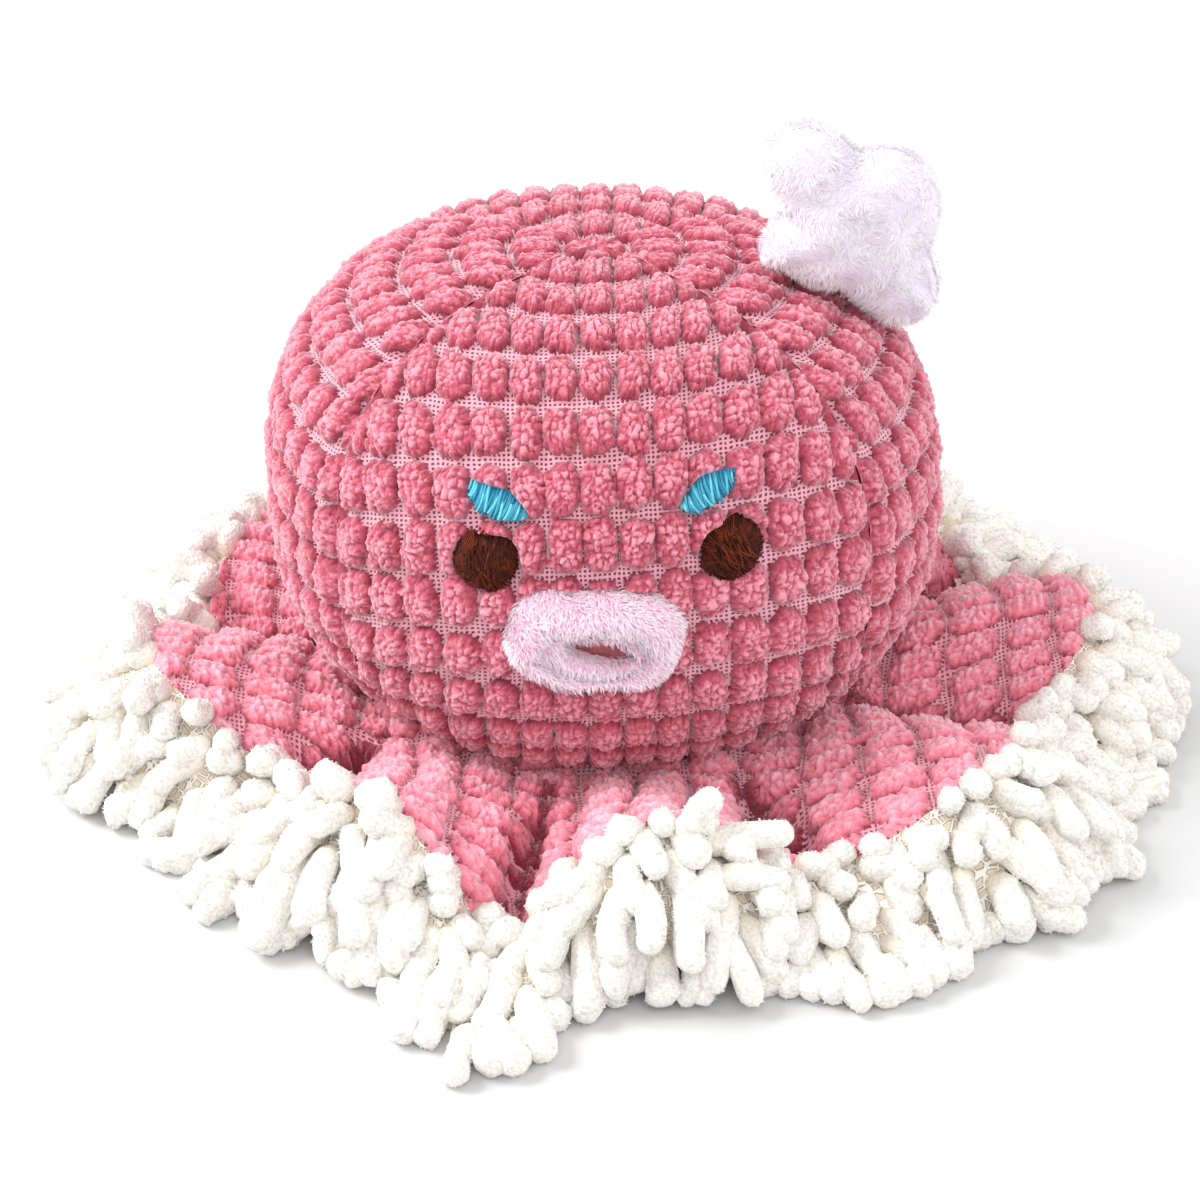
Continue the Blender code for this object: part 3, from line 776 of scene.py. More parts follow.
def armPoint(arm):
    cos, sin = math.cos(arm["angle"]), math.sin(arm["angle"])
    hinge = skirt["hinge"]

    def pointAt(a, b):
        # a runs from valley to valley over the ridge, b from the yoke to the fringe
        b = (b + 1) / 2
        reach, height = edgeAt(arm, a)
        outer = onArm(arm, a, reach, height)
        y = a * hinge * np.tan(sided(arm["halves"], a))
        inner = np.stack([hinge * cos - y * sin, hinge * sin + y * cos, skirt["yokeHeight"] + 0 * y], -1)
        point = inner + (outer - inner) * b[:, None]
        bulge = np.sin(math.pi * np.clip(b, 0, 1))
        point[:, 2] += skirt["belly"] * bulge * (0.3 + 0.7 * np.cos(math.pi * a))
        turn = np.arctan2(point[:, 1], point[:, 0]) / degrees
        fold = softNoise(turn, 0 * turn, 9.5, 61) + 0.5 * softNoise(turn, b * 3, 5, 62)
        toValley = 1 - np.abs(a)
        point[:, 2] += skirt["foldNoise"] * fold * bulge * ramp(toValley, 0, 0.15)
        crease = np.exp(-((toValley / skirt["creaseShare"]) ** 2)) * ramp(b, 0, 0.35) * ramp(b, 1.0, 0.82)
        room = np.maximum(point[:, 2] - skirt["lowest"], 0)
        point[:, 2] -= np.minimum(skirt["creaseDepth"] * crease, room)
        return point
    return pointAt


def layCloth(grid, pointAt, fadeAt, shadeAt):
    # the grid becomes a closed cloth of its thickness, with beads on its upper side
    # fadeAt flattens the beads at an edge, shadeAt paints shade on them in a crease
    cloth, a, b = grid
    base = pointAt(a, b)
    u, v = base[:, 1] / mm, base[:, 0] / mm  # lengthways along X
    drift = skirt["patternDrift"]
    u, v = u + drift * softNoise(u, v, 24, 73), v + drift * softNoise(u, v, 24, 74)
    height, pile, toneAndPaintedLight = beadRelief(u, v, 71, skirt["nubShare"])
    fade = fadeAt(b)
    normal = -surfaceNormal(pointAt, a, b)
    side = unit(np.stack([-base[:, 1], base[:, 0], 0 * a], 1))
    turned = (normal * side).sum(1) * ramp(np.abs(a), 0.8, 1)  # neighbours meet at their valley
    normal = unit(normal - side * turned[:, None])
    ground = base - normal * beads["sink"] * mm
    writePoints(cloth, ground)
    cutArea = sum(polygon.area for polygon in cloth.data.polygons)
    thicken(cloth, skirt["thickness"], -1)
    points = readPoints(cloth)
    count = len(base)
    points[count:2 * count] = ground - normal * skirt["thickness"]
    points[:count] = ground + normal * (height * fade * mm)[:, None]
    points[:, 2] = np.maximum(points[:, 2], lowestPoint)
    writePoints(cloth, points)
    writeCloth(cloth, np.tile(u, 2), np.tile(v, 2))
    writeTone(cloth, "pile", np.append(pile * fade, 0 * pile))
    # painted shade in the valleys' creases; the underside takes 0.6 of the tone, darker as painted shade
    toneAndPaintedLight = toneAndPaintedLight * (1 - skirt["creaseShade"] * shadeAt(a))
    writeTone(cloth, "nub", np.append(toneAndPaintedLight, 0.6 * toneAndPaintedLight))
    tidyMesh(cloth)
    finishPiece(cloth, skirtPlush)
    return cutArea


def makeArm(index):
    arm = armValues(index)
    name = "arm_%d" % (index + 1)
    wide = sum(arm["halves"]) * (skirt["hinge"] + arm["reach"]) * skirt["meanWidth"]
    long = max(arm["reach"], *arm["lowReach"]) * 1.1  # with its slope
    grid = addGrid(name + "_cloth", round(wide / skirt["faceSize"]), round(long / skirt["faceSize"]))
    cloth = grid[0]
    area = layCloth(grid, armPoint(arm), lambda b: ramp(1.02 - b, 0, skirt["edgeFade"]),
                    lambda a: ramp(np.abs(a), skirt["shadeFrom"], skirt["shadeTo"]))
    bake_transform(cloth)
    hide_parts(name)
    across, along = skirt["gathers"]
    flat = (round(wide * across, 4), round(arm["reach"] * along, 4))


def yokePoint(a, b):
    # a runs round the neck, b from the head to the edge where the arms start
    turn = a * math.pi
    out = np.zeros_like(turn)
    for index in range(len(skirt["arms"])):
        arm = armValues(index)
        away = (turn - arm["angle"] + math.pi) % (2 * math.pi) - math.pi
        mine = (away >= -arm["halves"][0]) & (away <= arm["halves"][1])
        out = np.where(mine, skirt["hinge"] / np.cos(away), out)
    share = (b + 1) / 2
    reach = skirt["neckReach"] + (out - skirt["neckReach"]) * share
    rise = np.sin(math.pi * np.clip(1 - share, 0, 1)) * (1 - share)
    height = skirt["yokeHeight"] + skirt["neckRise"] * rise
    return np.stack([reach * np.cos(turn), reach * np.sin(turn), height], -1)


def makeYoke():
    grid = addGrid("yoke_cloth", *skirt["yokeFaces"])
    cloth = grid[0]
    layCloth(grid, yokePoint, lambda b: ramp(b, -1.1, -0.6), lambda a: 0 * a)
    fit(cloth, "head", "skirt_plush", "skirt_yoke")


makeYoke()
for index in range(len(skirt["arms"])):
    makeArm(index)
print("skirt made")


# Fur: short flat hairs on a soft piece

fur = {
    "lengths": (0.6, 1.15), "widths": (0.7, 1.2),  # shares of a piece's own hair
    "spread": 0.4, "swirlSize": 4.5, "leanSpread": 0.1, "leans": (0.05, 0.98), "drift": 1.5,
    "sunk": 0.0002, "lowest": 0.0002,
}


def growFur(name, base, material, count, hair, lie, comb, swirlRange, seed, parts=(0, 0.4, 0.75, 1)):
    # hairs lie over the surface along comb, each a narrow bent blade, and neighbours lean alike
    length, width = hair
    dice = np.random.default_rng(seed)
    mesh = base.data
    mesh.calc_loop_triangles()
    corners = readArray(mesh.loop_triangles, "vertices", 3, np.int32)
    points = readPoints(base)
    normals = readArray(mesh.vertices, "normal", 3)
    one, two, three = (points[corners[:, k]] for k in range(3))
    size = np.linalg.norm(np.cross(two - one, three - one), axis=1)
    pick = dice.choice(len(size), count, p=size / size.sum())
    s, t = dice.uniform(0, 1, (2, count))
    turned = s + t > 1
    s, t = np.where(turned, 1 - s, s)[:, None], np.where(turned, 1 - t, t)[:, None]
    root = one[pick] * (1 - s - t) + two[pick] * s + three[pick] * t
    one, two, three = (normals[corners[pick, k]] for k in range(3))
    up = unit(one * (1 - s - t) + two * s + three * t)
    along = np.asarray(comb, float) - up * (up @ np.asarray(comb, float))[:, None]
    along = unit(along + 1e-4)
    other = np.cross(up, along)
    swirl = softNoise((root[:, 0] + root[:, 1]) / mm, root[:, 2] / mm, fur["swirlSize"], seed) * swirlRange
    swirl = swirl + dice.normal(0, fur["spread"], count)
    way = along * np.cos(swirl)[:, None] + other * np.sin(swirl)[:, None]
    lean = np.clip(lie + dice.normal(0, fur["leanSpread"], count), *fur["leans"])[:, None]
    long = (length * dice.uniform(*fur["lengths"], count))[:, None]
    across = np.cross(up, way) * (width * dice.uniform(*fur["widths"], count))[:, None]
    drift = dice.normal(0, fur["drift"], (count, 1))
    rows = []
    for part in parts:
        bend = lean * part**1.2
        spot = root + long * part * (up * np.sqrt(1 - bend**2) + way * bend)
        spot = spot - up * fur["sunk"] + across * drift * part
        half = across * (1 - part * 0.6)
        rows += [spot] if part == 1 else [spot - half, spot + half]
    verts = np.stack(rows, 1).reshape(-1, 3)
    verts[:, 2] = np.maximum(verts[:, 2], fur["lowest"])
    sides = len(parts) * 2 - 1
    start = np.arange(count)[:, None] * sides
    quads = np.concatenate([start + np.array([[0, 1, 3, 2]]) + 2 * k for k in range(len(parts) - 2)])
    tips = start + np.array([[sides - 3, sides - 2, sides - 1]])
    hairs = newPiece(name, verts.tolist(), quads.tolist() + tips.tolist())
    # each hair darker at its root and lighter at its tip, a painted shade and highlight, plus a random tone
    # of its own; the piece under the hairs gets tone 0, darker than the tips: painted shade
    rootShadeTipLight = np.interp(np.repeat(parts, 2)[:-1], (0, 0.4, 0.75), (-0.4, 0.2, 0.4))
    tone = np.repeat(dice.uniform(0, 1, count), sides) * 0.7 + np.tile(rootShadeTipLight, count)
    writeTone(hairs, "tip", tone)
    writeTone(base, "tip", np.zeros(len(points)))
    finishPiece(hairs, material)
    return hairs


# Fringe: knitted tape and chenille noodles

fringe = {
    "tapeWidth": 0.029, "tapeSlope": 50, "floor": 0.0008, "tapeThickness": 0.0007, "tapeFaces": (70, 28),
    "ripple": 0.0011, "meanReach": 0.125, "cutReach": 0.13,  # of the tape from the middle, as worn and as cut
    "tuckIn": (0.02, 0.08),  # how far the tape runs in under the skirt, and how much more at the valleys
    "belly": 0.003, "radius": 0.0037, "length": 0.0184, "spacing": 3.7, "seed": 5, "wave": 0.0013,
    "lengths": (0.72, 1.22), "radii": (0.86, 1.1),  # shares
    "tilt": 20, "sway": 20.4, "edgeTilt": 40, "edgeSway": 48.96,  # degrees; the top row falls to all sides
    "hairsPerNoodle": 100, "hair": (0.0011, 0.00024),
    "lengthOnArm": (0.84, 1, 1, 1, 0.92, 1, 1, 0.92),
    # of each row: how far down the tape, lean from the tape's face in degrees, share of the length, droop
    "rows": ((0.0, 34, 0.62, 0.0), (0.1, 54, 0.7, 0.1), (0.28, 60, 0.84, 0.2), (0.48, 64, 0.95, 0.26),
             (0.7, 70, 1.0, 0.28), (0.9, 80, 0.95, 0.2), (1.0, 88, 0.75, 0.1)),
    # of the front arm's noodles that stand alone in the photo: root, middle and tip in mm
    "frontArm": 6, "singleRadius": 0.0034,
    "single": (((16.5, -111.5, 31), (20, -112, 38), (24.5, -111.5, 44)),
               ((20, -112, 29), (31, -111, 33), (42, -108, 29.5)),
               ((22, -117.5, 24), (32, -118, 26.5), (41, -116.5, 22))),
}


def tapeAt(arm, a, d):
    # d runs from the skirt's edge down to the floor
    reach, height = edgeAt(arm, a)
    deepest = fringe["tapeWidth"] * math.sin(fringe["tapeSlope"] * degrees)
    drop = np.minimum(np.maximum(height - fringe["floor"], 0), deepest)
    run = np.sqrt(fringe["tapeWidth"] ** 2 - drop**2)
    belly = fringe["belly"] * np.sin(math.pi * np.clip(d, 0, 1))
    height = height - beads["sink"] * mm * (1 - d) - drop * d + belly * 0.6
    return onArm(arm, a, reach + run * d + belly * 0.5, np.maximum(height, fringe["floor"]))


def makeTape(index):
    arm = armValues(index)
    tape, a, d = addGrid("tape_%d" % (index + 1), *fringe["tapeFaces"])
    d = (d + 1) / 2
    least, more = fringe["tuckIn"]
    under = least + more * ramp(np.abs(a), 0.7, 1)
    points = tapeAt(arm, a, d * (1 + under) - under)
    ripple = softNoise(points[:, 0] / mm, points[:, 1] / mm, 9, 83) * fringe["ripple"] * np.sin(math.pi * d)
    points[:, 2] = np.maximum(points[:, 2] + ripple, fringe["floor"])
    writePoints(tape, points)
    thicken(tape, fringe["tapeThickness"], 0)
    wide = sum(arm["halves"]) * fringe["meanReach"] / mm
    writeCloth(tape, np.tile(a * wide / 2, 2), np.tile(d * fringe["tapeWidth"] / mm, 2))
    tidyMesh(tape)
    finishPiece(tape, knittedTape)
    body = "arm_%d" % (index + 1)
    fit(tape, body, "white_chenille", "fringe_%d" % (index + 1))
    length = sum(arm["halves"]) * fringe["cutReach"]


def firstNoodle():
    bpy.ops.object.select_all(action="DESELECT")
    bpy.ops.mesh.primitive_uv_sphere_add(segments=8, ring_count=9, radius=1)
    noodle = named("noodle_start")
    inOrder(noodle)
    return noodle


def bendNoodle(noodle, shape, path, length, radius, wave, seed):
    # shape: the unit ball's points; path: root, middle and tip; both ends are round caps
    ring = np.round(np.arccos(np.clip(-shape[:, 2], -1, 1)) / math.pi * 9).astype(int)
    cap = min(radius / length, 0.45)
    body = np.linspace(cap, 1 - cap, 4)
    shares = np.array([0, 0.18 * cap, 0.58 * cap, *body, 1 - 0.58 * cap, 1 - 0.18 * cap, 1])
    widths = np.array([0, 0.57, 0.91, 1, 1, 1, 1, 0.91, 0.57, 0])
    share, width = shares[ring], widths[ring]
    s = share[:, None]
    root, middle, tip = path
    line = (1 - s) ** 2 * root + 2 * s * (1 - s) * middle + s**2 * tip
    along = unit(2 * (1 - s) * (middle - root) + 2 * s * (tip - middle))
    side = unit(np.cross(along, (0.31, 0.17, 0.93)))
    other = np.cross(along, side)
    line = line + side * (wave * np.sin(2 * math.pi * s))
    turn = np.arctan2(shape[:, 1], shape[:, 0])
    lump = 1 + 0.2 * softNoise(np.cos(turn) * 1.4 + 9, share * 7 + np.sin(turn), 1, seed)
    full = width * radius * lump * (0.82 + 0.18 * ramp(share, 0, 0.3))
    out = side * np.cos(turn)[:, None] + other * np.sin(turn)[:, None]
    points = line + out * full[:, None]
    points[:, 2] = np.maximum(points[:, 2], lowestPoint)
    writePoints(noodle, points)
    # painted shade: creamier towards the root, where the noodles crowd
    writeTone(noodle, "root", 1 - ramp(share, 0, 0.42))


def sewNoodle(start, shape, arm, index, dice, a, row):
    down, lean, longShare, droop = row
    top = row == fringe["rows"][0]
    a = np.array([min(max(a, -0.99), 0.99)])
    d = np.array([down + dice.uniform(-0.05, 0.05)])
    root = tapeAt(arm, a, d)[0]
    fall = unit(tapeAt(arm, a, d + 0.05)[0] - root)
    side = unit(tapeAt(arm, a + 0.02, d)[0] - root)
    normal = np.cross(side, fall)
    normal = normal if normal[2] > 0 else -normal
    tilt = (lean + dice.uniform(-1, 1) * fringe["edgeTilt" if top else "tilt"]) * degrees
    sway = dice.normal(0, fringe["edgeSway" if top else "sway"]) * degrees
    outward = fall * math.cos(sway) + side * math.sin(sway)
    way = unit(normal * math.cos(tilt) + outward * math.sin(tilt))
    length = fringe["length"] * longShare * fringe["lengthOnArm"][index] * dice.uniform(*fringe["lengths"])
    radius = fringe["radius"] * dice.uniform(*fringe["radii"])
    middle = root + way * length * 0.55
    tip = root + way * length + side * dice.uniform(-1, 1) * length * 0.3
    tip[2] -= length * (droop + dice.uniform(0, 0.12))
    middle[2] = max(middle[2], radius)
    tip[2] = max(tip[2], radius)
    wave = dice.uniform(-1, 1) * fringe["wave"]
    noodle = copyOf(start)
    path = (root - way * 0.001, middle, tip)
    bendNoodle(noodle, shape, path, length, radius, wave, int(dice.integers(1, 9999)))
    return noodle


def makeNoodles(index, start):
    arm = armValues(index)
    dice = np.random.default_rng(fringe["seed"] * 100 + index)
    shape = readPoints(start)
    count = round(sum(arm["halves"]) / degrees / fringe["spacing"])
    noodles = []
    for number, row in enumerate(fringe["rows"]):
        for step in range(count):
            a = 2 * (step + 0.5 + 0.25 * (number % 2 * 2 - 1) + dice.uniform(-0.22, 0.22)) / count - 1
            noodles.append(sewNoodle(start, shape, arm, index, dice, a, row))
    for path in fringe["single"] if index == fringe["frontArm"] else ():
        path = np.array(path) * mm
        length = np.linalg.norm(path[2] - path[0])
        noodle = copyOf(start)
        bendNoodle(noodle, shape, path, length, fringe["singleRadius"], 0, 1 + len(noodles))
        noodles.append(noodle)
    count = len(noodles)
    made = joinAll("noodles_%d" % (index + 1), noodles)
    finishPiece(made, whiteChenille)
    hairs = growFur("noodle_hairs_%d" % (index + 1), made, whiteChenille, count * fringe["hairsPerNoodle"],
                    fringe["hair"], 0.72, (0, 0, -1), 6.0, 90 + index, (0, 0.6, 1))
    body = "arm_%d" % (index + 1)
    fit(made, body, "white_chenille", "fringe_%d" % (index + 1))
    fit(hairs, body, "white_chenille")
    return count


startNoodle = firstNoodle()
noodleCount = 0
for index in range(len(skirt["arms"])):
    makeTape(index)
    noodleCount += makeNoodles(index, startNoodle)
bpy.data.objects.remove(startNoodle, do_unlink=True)
print("fringe made,", noodleCount, "noodles")


# Face: embroidery

def frontPoint(x, z, lift):
    # the head's surface under a place seen from the front
    x, z, lift = (np.asarray(values, float) for values in np.broadcast_arrays(x, z, lift))
    low = z < head["lowHeight"]
    half = np.where(low, head["lowHeight"], head["topHeight"])
    full = np.where(low, head["lowFullness"], head["topFullness"])
    share = np.clip(np.abs(z - head["lowHeight"]) / half, 0, 1)
    radius = head["radius"] * (1 - share**full) ** (1 / full)
    y = -np.sqrt(np.maximum((radius + head["puff"] + lift) ** 2 - (x - leanAt(z)) ** 2, 0))
    return np.stack([x, y, z], -1)


embroidery = {
    "low": -0.0013, "crown": 0.0024, "shoulder": 0.0032,  # of a stitched patch, over the cloth's surface
    "base": 0.0002,  # how far the patch lies under its threads
    "eyeThread": 0.00024, "eyeSpacing": 0.00042, "eyeSlant": {"left": 92, "right": 118},
    "crossTurns": (-0.25, 0.1, 0.4), "crossSpacing": 0.0007, "rimReach": 0.0072, "rimTurn": 0.09,
    "browThread": 0.00030, "browSpacing": 0.0005, "browSlant": {"left": 66, "right": 112},
    "overSpacing": 0.0016,
}


def domeLift(x, z, edge):
    inward = np.minimum(edgeDistance(x, z, edge) / embroidery["shoulder"], 1)
    return embroidery["low"] + embroidery["crown"] * np.sqrt(1 - (1 - inward) ** 2)


def onDome(flat, edge, lift):
    # places on a patch, lifted from it
    x, z = flat[:, 0], flat[:, 1]
    return frontPoint(x, z, domeLift(x, z, edge) + lift)


def makePatch(name, edge):
    # a domed patch inside an outline, rings of it drawn in to its middle
    patch, a, b = addGrid(name, len(edge), 10)
    turn = np.round((a + 1) / 2 * len(edge)).astype(int) % len(edge)
    share = ((1 - b) / 2)[:, None]
    middle = edge.mean(0)
    writePoints(patch, onDome(middle + (edge[turn] - middle) * share, edge, -embroidery["base"]))
    tidyMesh(patch, 0.000005)
    return patch


def stitchLines(edge, angle, spacing, dice, tiltRange, shareRange, lift):
    # threads laid across an outline at an angle
    along = np.array([math.cos(angle), math.sin(angle)])
    across = np.array([-along[1], along[0]])
    middle = edge.mean(0)
    local = edge - middle
    s, t = local @ across, local @ along
    lines = []
    for at in np.arange(s.min() + spacing * 0.6, s.max() - spacing * 0.3, spacing):
        near = at + dice.normal(0, spacing * 0.25)
        after = np.roll(s, -1)
        crossing = (s - near) * (after - near) < 0
        if crossing.sum() < 2:
            continue
        share = (near - s[crossing]) / (after[crossing] - s[crossing])
        ends = t[crossing] + share * (np.roll(t, -1)[crossing] - t[crossing])
        low, high = ends.min(), ends.max()
        length = (high - low) * dice.uniform(*shareRange)
        start = low + dice.uniform(0, 1) * (high - low - length)
        rough = dice.normal(0, 0.00035, 2)
        places = np.linspace(start + rough[0], start + length + rough[1], 7)
        aside = near + (places - places.mean()) * dice.uniform(-1, 1) * tiltRange
        lifts = np.full(7, lift)
        lifts[[0, -1]] -= 0.0009  # the ends go into the cloth
        lines.append(onDome(middle + across * aside[:, None] + along * places[:, None], edge, lifts))
    return lines


def makeStitches(name, lines, tones, radius, patch=None):
    # all threads go in one curve, made a mesh; each keeps a tone of its own
    curve = bpy.data.curves.new(name, "CURVE")
    curve.dimensions = "3D"
    curve.bevel_depth = radius
    curve.bevel_resolution = 1
    curve.use_fill_caps = True
    for line in lines:
        spline = curve.splines.new("POLY")
        spline.points.add(len(line) - 1)
        for point, place in zip(spline.points, line):
            point.co = (*place, 1)
    obj = bpy.data.objects.new(name, curve)
    bpy.context.scene.collection.objects.link(obj)
    pickOnly(obj)
    bpy.ops.object.convert(target="MESH")
    obj = bpy.context.object
    counts = [len(line) for line in lines]
    points = len(obj.data.vertices)
    owners = np.repeat(np.arange(len(counts)), counts)
    at = (np.arange(points) * sum(counts) / points).astype(int)
    writeTone(obj, "strand", np.asarray(tones)[owners[np.minimum(at, len(owners) - 1)]])
    if patch:
        # the patch under the threads takes a near-dark tone: painted shade between the threads
        writeTone(patch, "strand", np.full(len(patch.data.vertices), 0.05))
        obj = joinAll(name, [obj, patch])
    return obj


def sewPatch(name, edge, lines, tones, thread, material, slot):
    patch = makePatch(name + "_base", edge)
    piece = makeStitches(name + "_stitches", lines, tones, thread, patch)
    finishPiece(piece, material)
    fit(piece, "head", slot, name)


def makeEye(side):
    edge = faceShapes[side + "Eye"]
    dice = np.random.default_rng(7 + len(side))
    slant = embroidery["eyeSlant"][side] * degrees
    lines = stitchLines(edge, slant, embroidery["eyeSpacing"], dice, 0.1, (0.97, 1.0), 0.0)
    for turn in embroidery["crossTurns"]:
        lines += stitchLines(edge, slant + turn, embroidery["crossSpacing"], dice, 0.5, (0.3, 0.55), 0.0002)
    middle = edge.mean(0)
    for turn in np.arange(0, 2 * math.pi, embroidery["rimTurn"]):
        # short threads that fan out at the rim and end in the cloth
        reach = embroidery["rimReach"] * dice.uniform(0.92, 1.04)
        shares = np.linspace(dice.uniform(0.5, 0.66), 1, 5)
        flat = middle + np.array([math.cos(turn), math.sin(turn)]) * reach * shares[:, None]
        lifts = domeLift(flat[:, 0], flat[:, 1], edge) + 0.0001
        lifts[-1] = -0.0005
        lines.append(frontPoint(flat[:, 0], flat[:, 1], lifts))
    # mostly dark threads, a few lighter ones standing in for glints: partly painted highlight, partly a tone
    # of each thread
    tones = 0.1 + 0.75 * dice.uniform(0, 1, len(lines)) ** 2
    sewPatch(side + "_eye", edge, lines, tones, embroidery["eyeThread"], eyeThread, "brown_thread")


def makeBrow(side):
    edge = faceShapes[side + "Brow"]
    dice = np.random.default_rng(17 + len(side))
    slant = embroidery["browSlant"][side] * degrees
    lines = stitchLines(edge, slant, embroidery["browSpacing"], dice, 0.12, (0.97, 1.0), 0.0)
    full = len(lines)
    # a sparser layer of pale threads over them: painted highlights
    lines += stitchLines(edge, slant, embroidery["overSpacing"], dice, 0.35, (0.7, 0.95), 0.0002)
    tones = 0.12 + 0.4 * dice.uniform(0, 1, len(lines))
    tones[full:] = dice.uniform(0.6, 1, len(lines) - full)
    sewPatch(side + "_brow", edge, lines, tones, embroidery["browThread"], browThread, "turquoise_thread")


for side in ("left", "right"):
    makeEye(side)
    makeBrow(side)
print("embroidery made")


# Lips: a furry roll round a sunk field with a small slit

lips = {
    # middle, half width and half height in metres
    "field": (-0.0026, 0.0630, 0.0118, 0.0056), "slit": (-0.0012, 0.0646, 0.0080, 0.0030), "slitSlant": -14,
    "felt": (0.010, 0.0055), "faces": (160, 56), "fieldShare": 0.55,
    # share of the way in from the rim, and lift over the head in mm
    "profile": ((0, -1.2), (0.05, 1.6), (0.13, 4.2), (0.27, 5.7), (0.41, 5.0), (0.55, 2.9), (0.7, 4.2),
                (0.88, 3.6), (1, 0.6)),
    "hairs": 10000, "hair": (0.0025, 0.00012), "comb": (0.45, -0.1, -0.85),
}


def makeLips():
    cushion, a, b = addGrid("lip_cushion", *lips["faces"])
    turn, w = a * math.pi, (b + 1) / 2  # w runs from the rim to the slit
    cos, sin = np.cos(turn), np.sin(turn)
    rimX, rimZ = lipsRim(turn)
    fieldX = lips["field"][0] + lips["field"][2] * cos * (1 + 0.05 * softNoise(turn * 2, w * 0, 1, 104))
    fieldZ = lips["field"][1] + lips["field"][3] * sin
    slant = lips["slitSlant"] * degrees
    wide, high = lips["slit"][2] * cos, lips["slit"][3] * sin
    slitX = lips["slit"][0] + wide * math.cos(slant) - high * math.sin(slant)
    slitZ = lips["slit"][1] + wide * math.sin(slant) + high * math.cos(slant)
    first = np.clip(w / lips["fieldShare"], 0, 1)
    second = np.clip((w - lips["fieldShare"]) / (1 - lips["fieldShare"]), 0, 1)
    x = rimX + (fieldX - rimX) * first + (slitX - fieldX) * second
    z = rimZ + (fieldZ - rimZ) * first + (slitZ - fieldZ) * second
    shares, lifts = zip(*lips["profile"])
    lift = np.interp(w, shares, lifts) + 0.5 * softNoise(x / mm, z / mm, 3.4, 103) * np.sin(math.pi * w)
    writePoints(cushion, frontPoint(x, z, lift * mm))
    tidyMesh(cushion, 0.00001)
    finishPiece(cushion, lipFur)
    hairs = growFur("lip_hairs", cushion, lipFur, lips["hairs"], lips["hair"], 0.78, lips["comb"], 1.0, 107)
    fit(cushion, "head", "lip_fur", "lip_ring")
    fit(hairs, "head", "lip_fur")


def makeMouth():
    felt, a, b = addGrid("mouth_felt", 24, 14)
    x, z = lips["slit"][0] + a * lips["felt"][0], lips["slit"][1] + b * lips["felt"][1]
    writePoints(felt, frontPoint(x, z, 0.0009 + 0.0006 * softNoise(x / mm, z / mm, 2, 109)))
    tidyMesh(felt)
    finishPiece(felt, roseFelt)
    fit(felt, "head", "rose_felt", "mouth_patch")


makeLips()
makeMouth()
print("lips made")


# Tuft: a small furry cushion with five lobes

tuft = {
    "place": (0.0597, -0.009, 0.1346), "depth": 0.0205, "shoulder": 0.0105, "rimOverlap": 0.0006,
    "puckers": 0.0005, "soft": 4, "faces": (144, 72),
    # direction in degrees from +X and reach in mm, lobes and the dents between them
    "outline": ((4, 18.8), (26, 20.2), (47, 20.6), (66, 20.8), (84, 18.8), (95, 16.8), (104, 21), (113, 26),
                (125, 29.4), (138, 30), (147, 26.5), (157, 21.5), (171, 17.2), (185, 21.5), (198, 25.4),
                (206, 22.5), (214, 20), (232, 18.8), (245, 17.6), (256, 15.4), (270, 19), (283, 24.4),
                (295, 28.2), (309, 28.5), (321, 26), (330, 21), (340, 17.6), (352, 18)),
    "hairs": 11000, "hair": (0.0025, 0.00009), "comb": (-0.3, 0, -0.9),
}


def tuftReach(turn):
    return polarReach(tuft["outline"], turn, tuft["soft"])


def makeTuftPanel(side, sign):
    # half a ball, pulled out to the lobes
    bpy.ops.object.select_all(action="DESELECT")
    segments, rings = tuft["faces"]
    bpy.ops.mesh.primitive_uv_sphere_add(segments=segments, ring_count=rings, radius=1)
    panel = named("tuft_%s_cushion" % side)
    startEdit(panel)
    bpy.ops.mesh.bisect(plane_co=(0, 0, 0), plane_no=(0, 0, sign), clear_inner=True)
    endEdit()
    inOrder(panel)
    ball = readPoints(panel)
    out = np.hypot(ball[:, 0], ball[:, 1])
    turn = np.arctan2(ball[:, 1], ball[:, 0])
    rim = np.linspace(0, 2 * math.pi, 180, endpoint=False)
    edge = tuftReach(rim)[:, None] * np.stack([np.cos(rim), np.sin(rim)], 1)
    reach = tuftReach(turn) * np.arcsin(np.clip(out, 0, 1)) * 2 / math.pi
    x, z = reach * np.cos(turn), reach * np.sin(turn)
    inward = np.minimum(edgeDistance(x, z, edge) / tuft["shoulder"], 1)
    thick = tuft["depth"] / 2 * np.sqrt(1 - (1 - inward) ** 2.2) * (0.86 + 0.14 * ramp(reach, 0.016, 0.008))
    thick = thick + tuft["puckers"] * softNoise(x / mm, z / mm, 5, 113 + sign) * inward
    thick = np.where(out > 0.999, -tuft["rimOverlap"], thick)
    y = tuft["place"][1] + sign * thick
    writePoints(panel, np.stack([tuft["place"][0] + x, y, tuft["place"][2] + z], 1))
    tidyMesh(panel)
    facing = np.array([p.normal[1] for p in panel.data.polygons]).mean()
    if facing * sign < 0:
        startEdit(panel)
        bpy.ops.mesh.flip_normals()
        endEdit()
    finishPiece(panel, tuftFur)
    hairs = growFur("tuft_%s_hairs" % side, panel, tuftFur, tuft["hairs"], tuft["hair"], 0.8, tuft["comb"],
                    3.0, 127 + sign)
    fit(panel, "tuft", "tuft_fur", "tuft_%s_panel" % side)
    fit(hairs, "tuft", "tuft_fur")
    return panel


frontTuft = makeTuftPanel("front", -1)
makeTuftPanel("back", 1)
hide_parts("tuft_filling")


# Seams: the loops that hold the tuft, and the stitches that show along the neck

